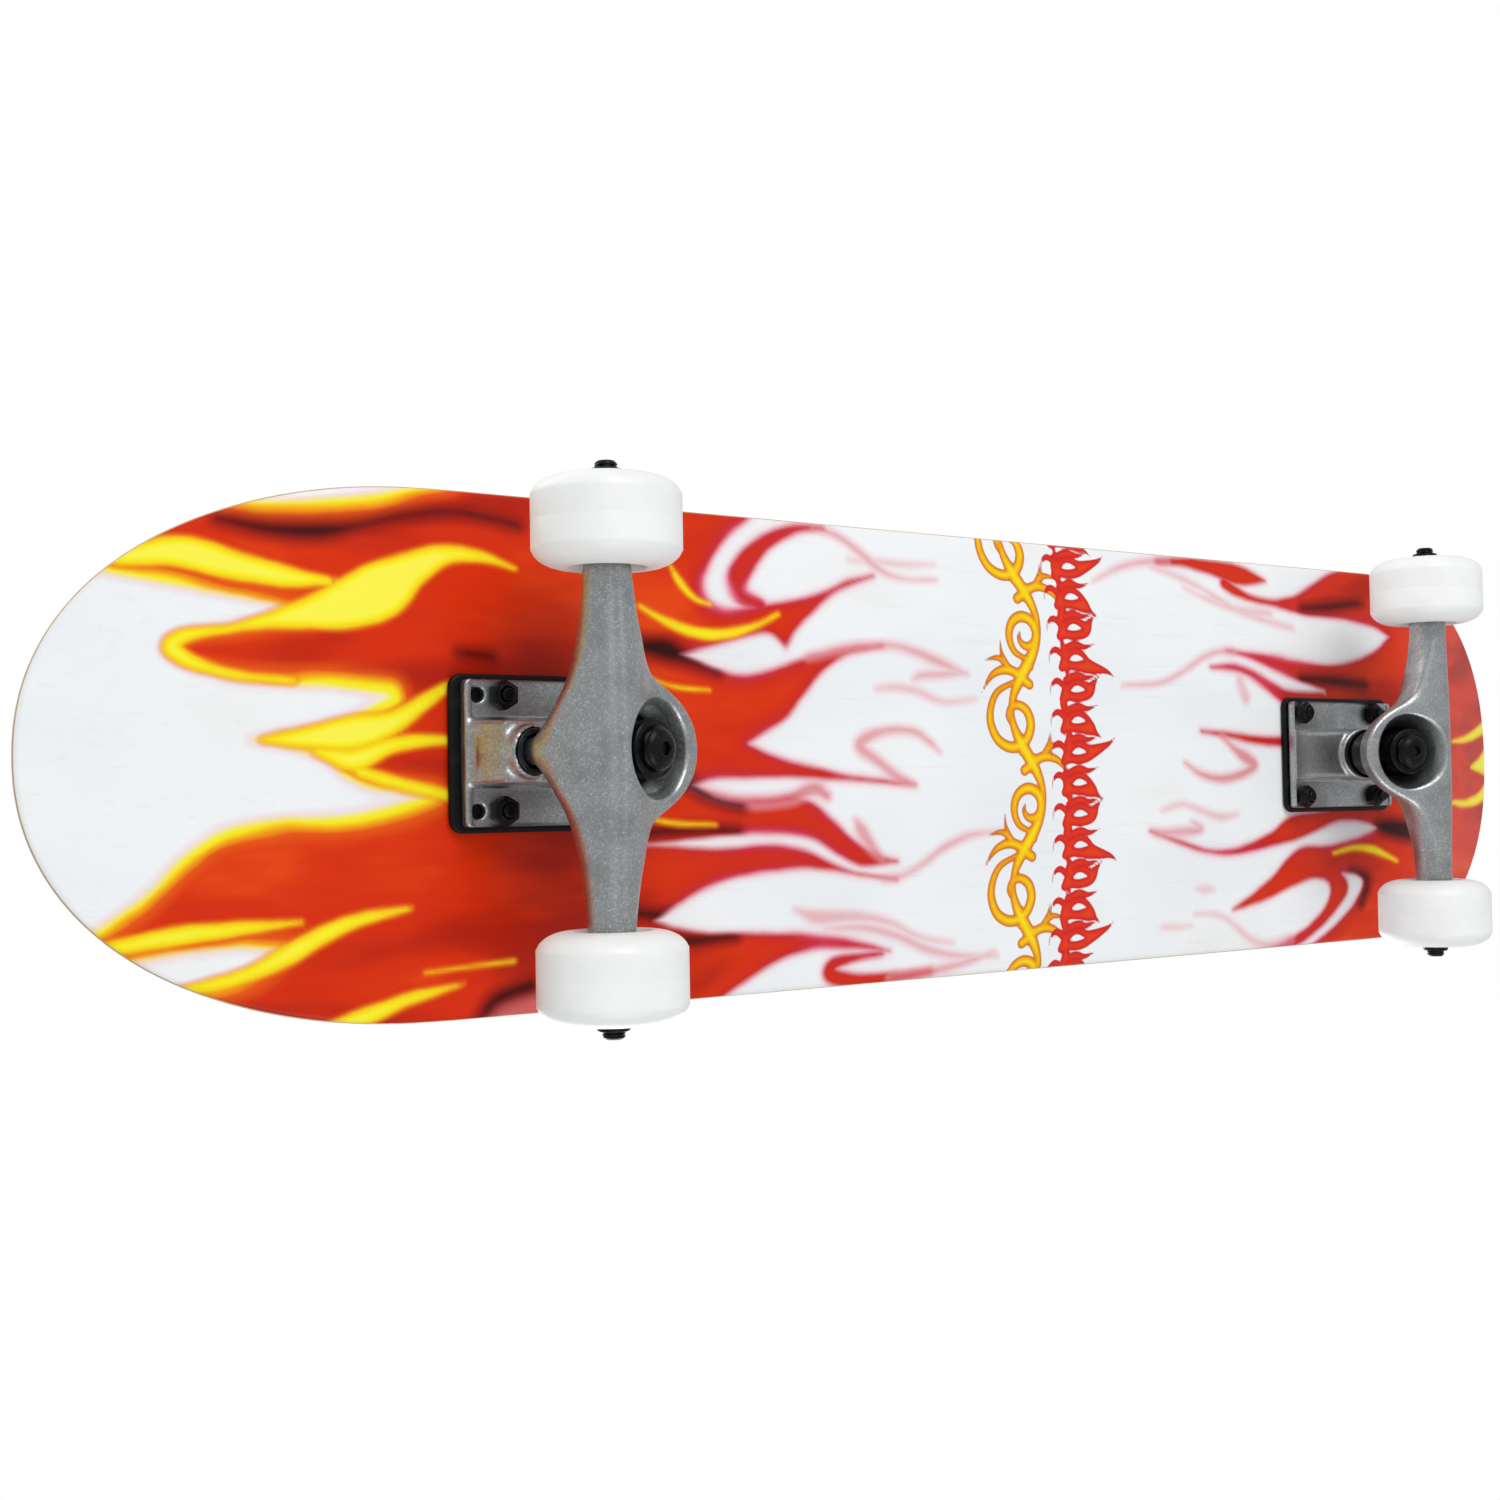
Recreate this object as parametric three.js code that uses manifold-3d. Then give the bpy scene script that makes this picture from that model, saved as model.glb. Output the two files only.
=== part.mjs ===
// A double-kick skateboard: a seven-ply maple deck with grip tape, two sprung trucks and four
// urethane wheels on ball bearings. Every physical piece is its own closed mesh.
//
// Units are millimetres. +X points to the nose, +Y to the left side, +Z up. The origin is on the
// ground, midway between the nose and the tail.
//
// A truck is described in a frame of its own: x runs outward from the centre of its bolt pattern
// to the end of the board, y sideways, and z up from the ground. The rear truck is the same truck
// turned half a turn about Z.

import * as THREE from 'three';
import { mergeVertices } from 'three/addons/utils/BufferGeometryUtils.js';
import Module from 'manifold-3d';

const wasm = await Module();
wasm.setup();

// ---------------------------------------------------------------------------------------------
// Driving dimensions
// ---------------------------------------------------------------------------------------------

const GAP = 0.3;                      // space left between pieces that touch

const DECK_LENGTH = 800;
const DECK_WIDTH = 191;
const DECK_THICKNESS = 11;
const DECK_EDGE_ROUND = 2.5;
const DECK_STRAIGHT_HALF = 249.5;     // where the sides start to curve in
const DECK_END_POWER = 2 / 2.59;      // powers of the rounded ends' outline
const DECK_SIDE_POWER = 2 / 2.15;
const CONCAVE_RISE = 5.8;
const FLAT_HALF_WIDTH = 30;           // level strip along the middle, under the trucks
const KICK_START = 269;
const KICK_RADIUS = 155;
const NOSE_KICK = THREE.MathUtils.degToRad(19.5);
const TAIL_KICK = THREE.MathUtils.degToRad(17);
const GRIP_THICKNESS = 0.8;
const GRIP_GAP = 0.45;                // under the tape, because both surfaces are faceted

const WHEEL_RADIUS = 26;
const WHEEL_WIDTH = 31.6;
const WHEEL_SIDES = 24;
const SHOULDER_DEPTH = 11.6;          // how far the rounded shoulder comes in from the tread
const SHOULDER_WIDTH = 7.4;
const TRUCK_X = 217.5;                // centre of a truck's bolt pattern
const AXLE_OFFSET = 9.9;              // axle, outward of the bolt pattern's centre
const AXLE_TO_DECK = 53.6;
const AXLE_HALF_LENGTH = 98.6;
const AXLE_RADIUS = 4;
const HANGER_HALF_LENGTH = 64.5;
const WHEEL_CENTRE_Y = 77.5;

const BOLT_HALF_X = 27;               // 2 1/8 in by 1 5/8 in bolt pattern
const BOLT_HALF_Y = 20.65;
const SPARE_HOLE_X = 36.5;
const BOLT_RADIUS = 2.35;
const BOLT_HOLE_RADIUS = 2.75;
const BOLT_HEAD_RADIUS = 4.6;
const BOLT_HEAD_DEPTH = 2.4;

const RISER_THICKNESS = 2.7;
const PLATE_THICKNESS = 4.4;
const PLATE_INNER_X = -33.4;
const PLATE_OUTER_X = 41.6;
const PLATE_HALF_WIDTH = 26.2;
const PLATE_CHANNEL_DEPTH = 1;
const BLOCK_WIDTH = 22.4;             // raised block that carries the kingpin and the pivot
const KINGPIN_BOSS_RADIUS = 12.8;

const KINGPIN_TILT = THREE.MathUtils.degToRad(18);
const KINGPIN_END = new THREE.Vector3(-8.4, 0, 22);   // where distances up the kingpin start
const KINGPIN_RADIUS = 4.7;
const PIVOT_TILT = THREE.MathUtils.degToRad(15);
const PIVOT_MOUTH = new THREE.Vector3(24.8, 0, 52);   // centre of the pivot housing's mouth
const PIVOT_BALL_DEPTH = 5.5;
const PIVOT_BALL_RADIUS = 5.5;
const AXLE_INWARD = -16.2;            // the axle, measured from the kingpin towards the board's middle
const NOSE_LEAN = Math.atan2(PIVOT_MOUTH.x - AXLE_OFFSET, PIVOT_MOUTH.z - WHEEL_RADIUS);

const BEARING_RADIUS = 10.7;
const BEARING_WIDTH = 7;
const SPACER_HALF = 5;                // half of the space between a wheel's two bearings

// Heights above the ground, and spans up the kingpin
const DECK_UNDERSIDE = WHEEL_RADIUS + AXLE_TO_DECK;
const DECK_TOP = DECK_UNDERSIDE + DECK_THICKNESS;
const RISER_TOP = DECK_UNDERSIDE - GAP;
const RISER_BOTTOM = RISER_TOP - RISER_THICKNESS;
const PLATE_TOP = RISER_BOTTOM - GAP;
const PLATE_BOTTOM = PLATE_TOP - PLATE_THICKNESS;
const CHANNEL_FLOOR = PLATE_BOTTOM + PLATE_CHANNEL_DEPTH;

const KINGPIN_NUT = [-2.2, 2.4];
const NUT_CROWN = 1.4;                // depth of metal over the kingpin's threaded end
const ROAD_WASHER = [KINGPIN_NUT[1] + GAP, KINGPIN_NUT[1] + GAP + 1.5];
const ROAD_BUSHING = [ROAD_WASHER[1] + GAP, 19.6];
const HANGER_WEB = [ROAD_BUSHING[1] + GAP, 24.1];
const DECK_BUSHING = [HANGER_WEB[1] + GAP, 36.4];
const DECK_WASHER = [DECK_BUSHING[1] + GAP, 38.5];
const PLATE_SEAT = DECK_WASHER[1] + GAP;
const HANGER_COLLAR_TOP = 24.4;
const KINGPIN_HEAD = [48.3, 53.6];
const BUSHING_RADIUS = 11.2;

// ---------------------------------------------------------------------------------------------
// Geometry helpers
// ---------------------------------------------------------------------------------------------

const UP = new THREE.Vector3(0, 1, 0);
const lerp = THREE.MathUtils.lerp;

/** A closed mesh with merged vertices, as a solid that can be joined and cut. */
function toSolid(geometry) {
  const plain = geometry.clone();
  plain.deleteAttribute('normal');
  plain.deleteAttribute('uv');
  const merged = mergeVertices(plain, 1e-4);
  return new wasm.Manifold(new wasm.Mesh({
    numProp: 3,
    vertProperties: new Float32Array(merged.attributes.position.array),
    triVerts: new Uint32Array(merged.index.array),
  }));
}

function toGeometry(solid) {
  const mesh = solid.getMesh();
  const geometry = new THREE.BufferGeometry();
  geometry.setAttribute('position', new THREE.BufferAttribute(new Float32Array(mesh.vertProperties), 3));
  geometry.setIndex(new THREE.BufferAttribute(new Uint32Array(mesh.triVerts), 1));
  geometry.computeVertexNormals();
  return geometry;
}

/** Joins the first list of geometries and cuts the second list away. */
function carve(joined, cut = []) {
  let solid = joined.map(toSolid).reduce((a, b) => a.add(b));
  for (const tool of cut) {
    solid = solid.subtract(toSolid(tool));
  }
  return toGeometry(solid);
}

/** A solid of revolution about Y; the profile is [radius, height] pairs, bottom to top. */
function turned(profile, segments) {
  const points = profile.map(([radius, height]) => new THREE.Vector2(radius, height));
  return new THREE.LatheGeometry(points, segments);
}

/** A ring about Y, whose profile closes on itself. */
function turnedRing(profile, segments) {
  return turned([...profile, profile[0]], segments);
}

/** A cylinder about Y between two heights. */
function rod(radius, low, high, segments = 14) {
  return turned([[0, low], [radius, low], [radius, high], [0, high]], segments);
}

/** A hexagonal prism about Y. */
function hexPrism(acrossFlats, low, high) {
  return rod(acrossFlats / Math.sqrt(3), low, high, 6);
}

/** A hexagonal nut about Y whose far end is drawn in as a collar, with a bore through it. */
function lockNut(acrossFlats, boreRadius, low, shoulder, high, collarRadius) {
  const corner = acrossFlats / Math.sqrt(3);
  const bore = boreRadius / Math.cos(Math.PI / 6);
  return turnedRing([[bore, low], [corner, low], [corner, shoulder], [collarRadius, high], [bore, high]], 6);
}

/** Turns a geometry's Y axis to the given direction and moves its origin to a point. */
function aim(geometry, origin, direction) {
  const turn = new THREE.Quaternion().setFromUnitVectors(UP, direction.clone().normalize());
  return geometry.applyQuaternion(turn).translate(origin.x, origin.y, origin.z);
}

/** A vertical cylinder at a place, between two heights. */
function uprightRod(x, y, radius, low, high, segments = 10) {
  return aim(rod(radius, low, high, segments), new THREE.Vector3(x, y, 0), new THREE.Vector3(0, 0, 1));
}

/** A closed skin over rings of points, each ring the same length, capped at both ends. */
function skin(rings) {
  const count = rings[0].length;
  const positions = rings.flat().flatMap((point) => point.toArray());
  const index = [];
  for (let ring = 0; ring < rings.length - 1; ring += 1) {
    for (let i = 0; i < count; i += 1) {
      const a = ring * count + i;
      const b = ring * count + (i + 1) % count;
      index.push(a, b, b + count, a, b + count, a + count);
    }
  }
  for (const [ring, flip] of [[0, true], [rings.length - 1, false]]) {
    const centre = new THREE.Vector3();
    rings[ring].forEach((point) => centre.addScaledVector(point, 1 / count));
    const middle = positions.length / 3;
    positions.push(...centre.toArray());
    for (let i = 0; i < count; i += 1) {
      const a = ring * count + i;
      const b = ring * count + (i + 1) % count;
      index.push(...(flip ? [middle, b, a] : [middle, a, b]));
    }
  }
  const geometry = new THREE.BufferGeometry();
  geometry.setAttribute('position', new THREE.Float32BufferAttribute(positions, 3));
  geometry.setIndex(index);
  return geometry;
}

/** An upright plate with rounded corners, between two heights. */
function roundedPlate(lowX, highX, halfY, corner, low, high, cornerSteps = 4) {
  const shape = new THREE.Shape();
  shape.moveTo(lowX + corner, -halfY);
  shape.lineTo(highX - corner, -halfY);
  shape.absarc(highX - corner, -halfY + corner, corner, -Math.PI / 2, 0);
  shape.lineTo(highX, halfY - corner);
  shape.absarc(highX - corner, halfY - corner, corner, 0, Math.PI / 2);
  shape.lineTo(lowX + corner, halfY);
  shape.absarc(lowX + corner, halfY - corner, corner, Math.PI / 2, Math.PI);
  shape.lineTo(lowX, -halfY + corner);
  shape.absarc(lowX + corner, -halfY + corner, corner, Math.PI, Math.PI * 1.5);
  const options = { depth: high - low, bevelEnabled: false, curveSegments: cornerSteps };
  return new THREE.ExtrudeGeometry(shape, options).translate(0, 0, low);
}

/** A block whose outline is given in x and z, centred on y = 0. */
function sideBlock(outline, width) {
  const shape = new THREE.Shape(outline.map(([x, z]) => new THREE.Vector2(x, z)));
  const geometry = new THREE.ExtrudeGeometry(shape, { depth: width, bevelEnabled: false });
  return geometry.translate(0, 0, -width / 2).rotateX(Math.PI / 2);
}

// ---------------------------------------------------------------------------------------------
// Deck and grip tape
// ---------------------------------------------------------------------------------------------

/** Height of the deck's underside above its level middle. */
function deckRise(x, y) {
  const kick = x > 0 ? NOSE_KICK : TAIL_KICK;
  const beyond = Math.abs(x) - KICK_START;
  const arc = KICK_RADIUS * Math.sin(kick);
  const bent = Math.min(Math.max(beyond, 0), arc);
  const bend = KICK_RADIUS - Math.sqrt(KICK_RADIUS ** 2 - bent ** 2);
  const slope = Math.max(beyond - arc, 0) * Math.tan(kick);
  const fromFlat = Math.max(Math.abs(y) - FLAT_HALF_WIDTH, 0) / (DECK_WIDTH / 2 - FLAT_HALF_WIDTH);
  const fade = THREE.MathUtils.clamp(1 - beyond / 90, 0.35, 1);
  return bend + slope + CONCAVE_RISE * fromFlat ** 1.6 * fade;
}

/** A point at a height square to the deck's underside. */
function deckPoint(x, y, height) {
  const step = 0.5;
  const slopeX = (deckRise(x + step, y) - deckRise(x - step, y)) / (2 * step);
  const slopeY = (deckRise(x, y + step) - deckRise(x, y - step)) / (2 * step);
  const level = Math.abs(x) < KICK_START && Math.abs(y) <= FLAT_HALF_WIDTH;
  const normal = level ? new THREE.Vector3(0, 0, 1) : new THREE.Vector3(-slopeX, -slopeY, 1).normalize();
  return new THREE.Vector3(x, y, DECK_UNDERSIDE + deckRise(x, y)).addScaledVector(normal, height);
}

/** A layer that follows the deck, between two heights square to it, with or without side walls. */
function deckLayer(low, high, walled) {
  const endSteps = 11;
  const tipAngle = 0.07;
  const reach = (DECK_LENGTH / 2 - DECK_STRAIGHT_HALF) / Math.cos(tipAngle) ** DECK_END_POWER;
  const stations = [];
  for (let i = 0; i <= endSteps; i += 1) {
    const angle = lerp(Math.PI / 2, tipAngle, i / endSteps);
    const x = DECK_STRAIGHT_HALF + reach * Math.cos(angle) ** DECK_END_POWER;
    stations.push([x, (DECK_WIDTH / 2) * Math.sin(angle) ** DECK_SIDE_POWER]);
  }
  const bothEnds = [...stations.map(([x, w]) => [-x, w]).reverse(), ...stations];
  const outward = [0, 0.32, 0.65, 1];
  return skin(bothEnds.map(([x, w]) => {
    const flat = Math.min(FLAT_HALF_WIDTH - 1, w / 2);
    const half = outward.map((share) => lerp(flat, w - DECK_EDGE_ROUND, share));
    const across = [...half.map((y) => -y).reverse(), ...half];
    const top = [...across].reverse().map((y) => deckPoint(x, y, high));
    const bottom = across.map((y) => deckPoint(x, y, low));
    const heights = walled ? [high - DECK_EDGE_ROUND, low + DECK_EDGE_ROUND] : [];
    const wall = (side, levels) => levels.map((height) => deckPoint(x, side * w, height));
    return [...top, ...wall(-1, heights), ...bottom, ...wall(1, [...heights].reverse())];
  }));
}

const boltPlaces = [-1, 1].flatMap((end) => [-1, 1].flatMap((along) => [-1, 1].map((side) => (
  [end * TRUCK_X + along * BOLT_HALF_X, side * BOLT_HALF_Y]))));

function deckGeometry() {
  const drills = boltPlaces.flatMap(([x, y]) => {
    const hole = turned([
      [0, DECK_UNDERSIDE - 1],
      [BOLT_HOLE_RADIUS, DECK_UNDERSIDE - 1],
      [BOLT_HOLE_RADIUS, DECK_TOP - BOLT_HEAD_DEPTH - 1],
      [BOLT_HEAD_RADIUS + 0.8, DECK_TOP],
      [BOLT_HEAD_RADIUS + 0.8, DECK_TOP + 1],
      [0, DECK_TOP + 1],
    ], 10);
    return [aim(hole, new THREE.Vector3(x, y, 0), new THREE.Vector3(0, 0, 1))];
  });
  return carve([deckLayer(0, DECK_THICKNESS, true)], drills);
}

function griptapeGeometry() {
  const low = DECK_THICKNESS + GRIP_GAP;
  const layer = deckLayer(low, low + GRIP_THICKNESS, false);
  const holes = boltPlaces.map(([x, y]) => (
    uprightRod(x, y, BOLT_HEAD_RADIUS + 1, DECK_TOP, DECK_TOP + 3)));
  return carve([layer], holes);
}

// ---------------------------------------------------------------------------------------------
// Truck frame: kingpin and pivot axes
// ---------------------------------------------------------------------------------------------

const KINGPIN_UP = new THREE.Vector3(Math.sin(KINGPIN_TILT), 0, Math.cos(KINGPIN_TILT));
const KINGPIN_INWARD = new THREE.Vector3(-Math.cos(KINGPIN_TILT), 0, Math.sin(KINGPIN_TILT));
const PIVOT_IN = new THREE.Vector3(Math.sin(PIVOT_TILT), 0, Math.cos(PIVOT_TILT));

/** A point by its distance up the kingpin, towards the board's middle, and sideways. */
function kingpinPoint(up, inward, side) {
  const point = KINGPIN_END.clone().addScaledVector(KINGPIN_UP, up).addScaledVector(KINGPIN_INWARD, inward);
  point.y += side;
  return point;
}

const onKingpin = (geometry) => aim(geometry, KINGPIN_END, KINGPIN_UP);
const inPivot = (geometry) => aim(geometry, PIVOT_MOUTH, PIVOT_IN);

// ---------------------------------------------------------------------------------------------
// Riser pad and baseplate
// ---------------------------------------------------------------------------------------------

function boltHoles(low, high, radius) {
  return [-1, 1].flatMap((along) => [-1, 1].map((side) => (
    uprightRod(along * BOLT_HALF_X, side * BOLT_HALF_Y, radius, low, high))));
}

function riserGeometry() {
  const pad = roundedPlate(PLATE_INNER_X - 1.8, PLATE_OUTER_X + 3.9, PLATE_HALF_WIDTH + 2.2, 5,
    RISER_BOTTOM, RISER_TOP, 3);
  return carve([pad], boltHoles(RISER_BOTTOM - 1, RISER_TOP + 1, BOLT_HOLE_RADIUS));
}

function baseplateGeometry() {
  const plate = roundedPlate(PLATE_INNER_X, PLATE_OUTER_X, PLATE_HALF_WIDTH, 2, PLATE_BOTTOM, PLATE_TOP, 3);
  const block = sideBlock([
    [PLATE_INNER_X + 1, PLATE_BOTTOM + 1.5],
    [PLATE_OUTER_X - 0.4, PLATE_BOTTOM + 1.5],
    [38.2, 66.2],
    [34.6, 55.4],
    [17, 57],
    [4, 61.5],
    [-8.5, 65],
  ], BLOCK_WIDTH);
  const kingpinBoss = onKingpin(rod(KINGPIN_BOSS_RADIUS, PLATE_SEAT, 50, 20));
  const pivotBoss = inPivot(turned([[0, 0], [9.3, 0], [10.2, 14], [10.2, 18], [0, 18]], 18));
  const channels = [-1, 1].map((side) => {
    const low = PLATE_INNER_X + 0.6;
    const high = PLATE_OUTER_X - 2.4;
    const channel = new THREE.BoxGeometry(high - low, 13.4, 4);
    return channel.translate((low + high) / 2, side * 19.05, CHANNEL_FLOOR - 2);
  });
  const spareHoles = [-1, 1].map((side) => (
    uprightRod(SPARE_HOLE_X, side * BOLT_HALF_Y, BOLT_HOLE_RADIUS, 60, PLATE_TOP + 1)));
  const cupPocket = inPivot(turned([
    [0, -1],
    [8.4, -1],
    [8.4, 1.6],
    [7.7, 1.6],
    [7.7, 13],
    [0, 13],
  ], 16));
  const kingpinHole = onKingpin(rod(KINGPIN_RADIUS + GAP, 30, 60));
  const headRecess = onKingpin(rod(9.4, KINGPIN_HEAD[0] - GAP, 62, 14));
  const aboveDeckSide = new THREE.BoxGeometry(100, 60, 20).translate(0, 0, PLATE_TOP + 10);
  return carve(
    [plate, block, kingpinBoss, pivotBoss],
    [...channels, ...boltHoles(60, PLATE_TOP + 1, BOLT_HOLE_RADIUS), ...spareHoles,
      cupPocket, kingpinHole, headRecess, aboveDeckSide],
  );
}

function pivotCupGeometry() {
  const profile = [[8.1, -0.4], [8.1, 1.3], [7.4, 1.3], [7.4, 12.6], [0, 12.6]];
  const inner = [];
  const pocket = PIVOT_BALL_RADIUS + 0.4;
  const mouthAngle = Math.asin(5.7 / pocket);
  for (let i = 0; i <= 4; i += 1) {
    const angle = lerp(0, Math.PI - mouthAngle, i / 4);
    inner.push([pocket * Math.sin(angle), PIVOT_BALL_DEPTH + pocket * Math.cos(angle)]);
  }
  inner.push([6.4, -0.4]);
  return inPivot(turned([...inner, ...profile], 14));
}

// ---------------------------------------------------------------------------------------------
// Hanger
// ---------------------------------------------------------------------------------------------

/** Joins two distances with a fillet of about the given size. */
function blended(a, b, size) {
  const h = Math.max(size - Math.abs(a - b), 0) / size;
  return Math.min(a, b) - h * h * size * 0.25;
}

/** Keeps what is inside both distances, with its edge rounded by about the given size. */
function trimmed(a, b, size) {
  return -blended(-a, -b, size);
}

/** The two arms, drawn out upwards towards the pivot nose as they near the middle. */
function armDistance(x, y, z) {
  const side = Math.abs(y);
  const across = x - AXLE_OFFSET;
  const rise = z - WHEEL_RADIUS;
  const along = across * Math.sin(NOSE_LEAN) + rise * Math.cos(NOSE_LEAN);
  const away = across * Math.cos(NOSE_LEAN) - rise * Math.sin(NOSE_LEAN);
  const swell = blended(34 * Math.exp(-0.0695 * side), 15.5, 6);
  const radius = lerp(7.7, 8.8, THREE.MathUtils.smoothstep(HANGER_HALF_LENGTH - side, 6, 50));
  return Math.hypot(away, along - THREE.MathUtils.clamp(along, 0, swell)) - radius;
}

/** The plate around the kingpin, run out in curves along both arms. */
function yokeDistance(up, inward, side) {
  const share = THREE.MathUtils.clamp((up - 3) / 21.6, -0.2, 1);
  const ring = Math.hypot(inward - 6 * (1 - share), side) - lerp(17.8, 12.8, share);
  const ahead = inward - AXLE_INWARD;
  const outline = blended(ring, ahead - 5, 38) + 0.25 * Math.max(side - 38, 0);
  const beyond = Math.max(side - 8, 0);
  const lip = -0.35 + 0.08 * (inward + 16.7) + 0.06 * beyond - up;
  const crown = up - HANGER_COLLAR_TOP + 0.27 * beyond;
  const plate = trimmed(trimmed(outline, lip, 2.4), crown, 6);
  return trimmed(plate, -ahead - 1.5, 4);
}

/** The nose that reaches towards the pivot. */
function noseDistance(x, y, z) {
  const root = new THREE.Vector3(13.5, 0, 33);
  const tip = PIVOT_MOUTH.clone().addScaledVector(PIVOT_IN, -6);
  const along = tip.clone().sub(root);
  const point = new THREE.Vector3(x, y, z);
  const t = THREE.MathUtils.clamp(point.clone().sub(root).dot(along) / along.lengthSq(), 0, 1);
  return point.distanceTo(root.addScaledVector(along, t)) - lerp(8, 5.2, t);
}

/** Distance from a point to the cast body of the hanger, negative inside it. */
function hangerDistance(x, y, z) {
  const offset = new THREE.Vector3(x, y, z).sub(KINGPIN_END);
  const yoke = yokeDistance(offset.dot(KINGPIN_UP), offset.dot(KINGPIN_INWARD), Math.abs(y));
  return blended(blended(armDistance(x, y, z), yoke, 9), noseDistance(x, y, z), 8);
}

/** The cast body's skin, found outward from a line of centres along the arm. */
function hangerBody() {
  const yokeCentre = kingpinPoint(12, -3, 0);
  const armCentre = new THREE.Vector3(AXLE_OFFSET, 0, WHEEL_RADIUS);
  const half = [0, 5, 10, 14, 18, 21.5, 25, 29, 34, 42, 53, HANGER_HALF_LENGTH];
  const stations = [...half.slice(1).map((y) => -y).reverse(), ...half];
  const rays = 24;
  const rings = stations.map((y) => {
    const share = THREE.MathUtils.smoothstep(34 - Math.abs(y), 0, 18);
    const centre = armCentre.clone().lerp(yokeCentre, share);
    return Array.from({ length: rays }, (_, i) => {
      const angle = (2 * Math.PI * i) / rays;
      let near = 0;
      let far = 60;
      for (let step = 0; step < 30; step += 1) {
        const reach = (near + far) / 2;
        const x = centre.x + reach * Math.cos(angle);
        const z = centre.z + reach * Math.sin(angle);
        const inside = hangerDistance(x, y, z) < 0;
        near = inside ? reach : near;
        far = inside ? far : reach;
      }
      return new THREE.Vector3(centre.x + near * Math.cos(angle), y, centre.z + near * Math.sin(angle));
    });
  });
  return skin(rings.reverse());
}

/** The flared opening on the road side, which narrows to the bushing's seat. */
function yokeFunnel() {
  const levels = [
    { up: -6, inner: 21, outer: 20, half: 22.5 },
    { up: -0.35, inner: 18.2, outer: 16.4, half: 18.4 },
    { up: 3, inner: 17, outer: 14, half: 17.6 },
    { up: 8, inner: 14.8, outer: 11.2, half: 15.6 },
    { up: 13, inner: 12.2, outer: 10.6, half: 12.2 },
    { up: 16, inner: 11.6, outer: 11.6, half: 11.6 },
    { up: HANGER_WEB[0], inner: 11.6, outer: 11.6, half: 11.6 },
  ];
  const count = 18;
  const rings = levels.map(({ up, inner, outer, half }) => Array.from({ length: count }, (_, i) => {
    const angle = (2 * Math.PI * i) / count;
    const inward = (inner - outer + (inner + outer) * Math.cos(angle)) / 2;
    return kingpinPoint(up, inward, half * Math.sin(angle));
  }));
  return skin(rings.reverse());
}

function hangerGeometry() {
  const neck = 4.5;
  const profile = [[0, -18], [7.5, -17], [5.6, -7], [4.9, -2.5], [neck, 1.5]];
  const neckAngle = Math.asin(neck / PIVOT_BALL_RADIUS);
  for (let i = 0; i <= 4; i += 1) {
    const angle = lerp(Math.PI - neckAngle, 0, i / 4);
    const depth = PIVOT_BALL_DEPTH + PIVOT_BALL_RADIUS * Math.cos(angle);
    profile.push([PIVOT_BALL_RADIUS * Math.sin(angle), depth]);
  }
  const ball = inPivot(turned(profile, 14));
  const axleHole = rod(AXLE_RADIUS + GAP, -80, 80).translate(AXLE_OFFSET, 0, WHEEL_RADIUS);
  const kingpinHole = onKingpin(rod(7, 10, 40));
  const collarSeat = onKingpin(rod(BUSHING_RADIUS + 0.4, HANGER_WEB[1], 40, 18));
  return carve([hangerBody(), ball], [yokeFunnel(), axleHole, kingpinHole, collarSeat]);
}

// ---------------------------------------------------------------------------------------------
// Kingpin stack
// ---------------------------------------------------------------------------------------------

function kingpinGeometry() {
  const shank = rod(KINGPIN_RADIUS, KINGPIN_NUT[0] + NUT_CROWN + GAP, KINGPIN_HEAD[0] + 1);
  return onKingpin(carve([shank, hexPrism(14.3, ...KINGPIN_HEAD)]));
}

function kingpinNutGeometry() {
  const [low, high] = KINGPIN_NUT;
  const bore = KINGPIN_RADIUS + GAP;
  const dome = [[0, 0], [4.6, 0.15], [7, 1.2], [8, 2.6], [8, 3.4], [0, 3.4]];
  const pocket = [[0, -1], [2.4, -1], [2.4, NUT_CROWN], [bore, NUT_CROWN], [bore, 9], [0, 9]];
  const raised = (profile) => turned(profile, 14).translate(0, low, 0);
  return onKingpin(carve([raised(dome), hexPrism(14.3, low + 2.6, high)], [raised(pocket)]));
}

/** A cup washer, its rim turned towards the bushing. */
function washerGeometry([low, high], radius, rimUp) {
  const bore = KINGPIN_RADIUS + GAP;
  const rim = radius - 0.5;
  const turnedUp = [
    [bore, low], [radius, low], [radius, high + 1], [rim, high + 1], [rim, high], [bore, high],
  ];
  const turnedDown = [
    [bore, low], [rim, low], [rim, low - 1], [radius, low - 1], [radius, high], [bore, high],
  ];
  return onKingpin(turnedRing(rimUp ? turnedUp : turnedDown, 14));
}

function roadBushingGeometry() {
  const [low, high] = ROAD_BUSHING;
  const bore = KINGPIN_RADIUS + GAP;
  return onKingpin(turnedRing([[bore, low], [10, low], [10.3, 14], [10.9, high - 0.6],
    [bore, high]], 16));
}

function deckBushingGeometry() {
  const [low, high] = DECK_BUSHING;
  const bore = KINGPIN_RADIUS + GAP;
  return onKingpin(turnedRing([[bore, low], [BUSHING_RADIUS - 0.7, low], [BUSHING_RADIUS, low + 1],
    [BUSHING_RADIUS, high], [bore, high]], 16));
}

// ---------------------------------------------------------------------------------------------
// Axle, wheels and bearings, each about Y
// ---------------------------------------------------------------------------------------------

function axleGeometry() {
  const end = AXLE_HALF_LENGTH;
  return turned([[0, -end], [3.2, -end], [AXLE_RADIUS, -end + 0.8], [AXLE_RADIUS, end - 0.8],
    [3.2, end], [0, end]], 14);
}

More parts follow.
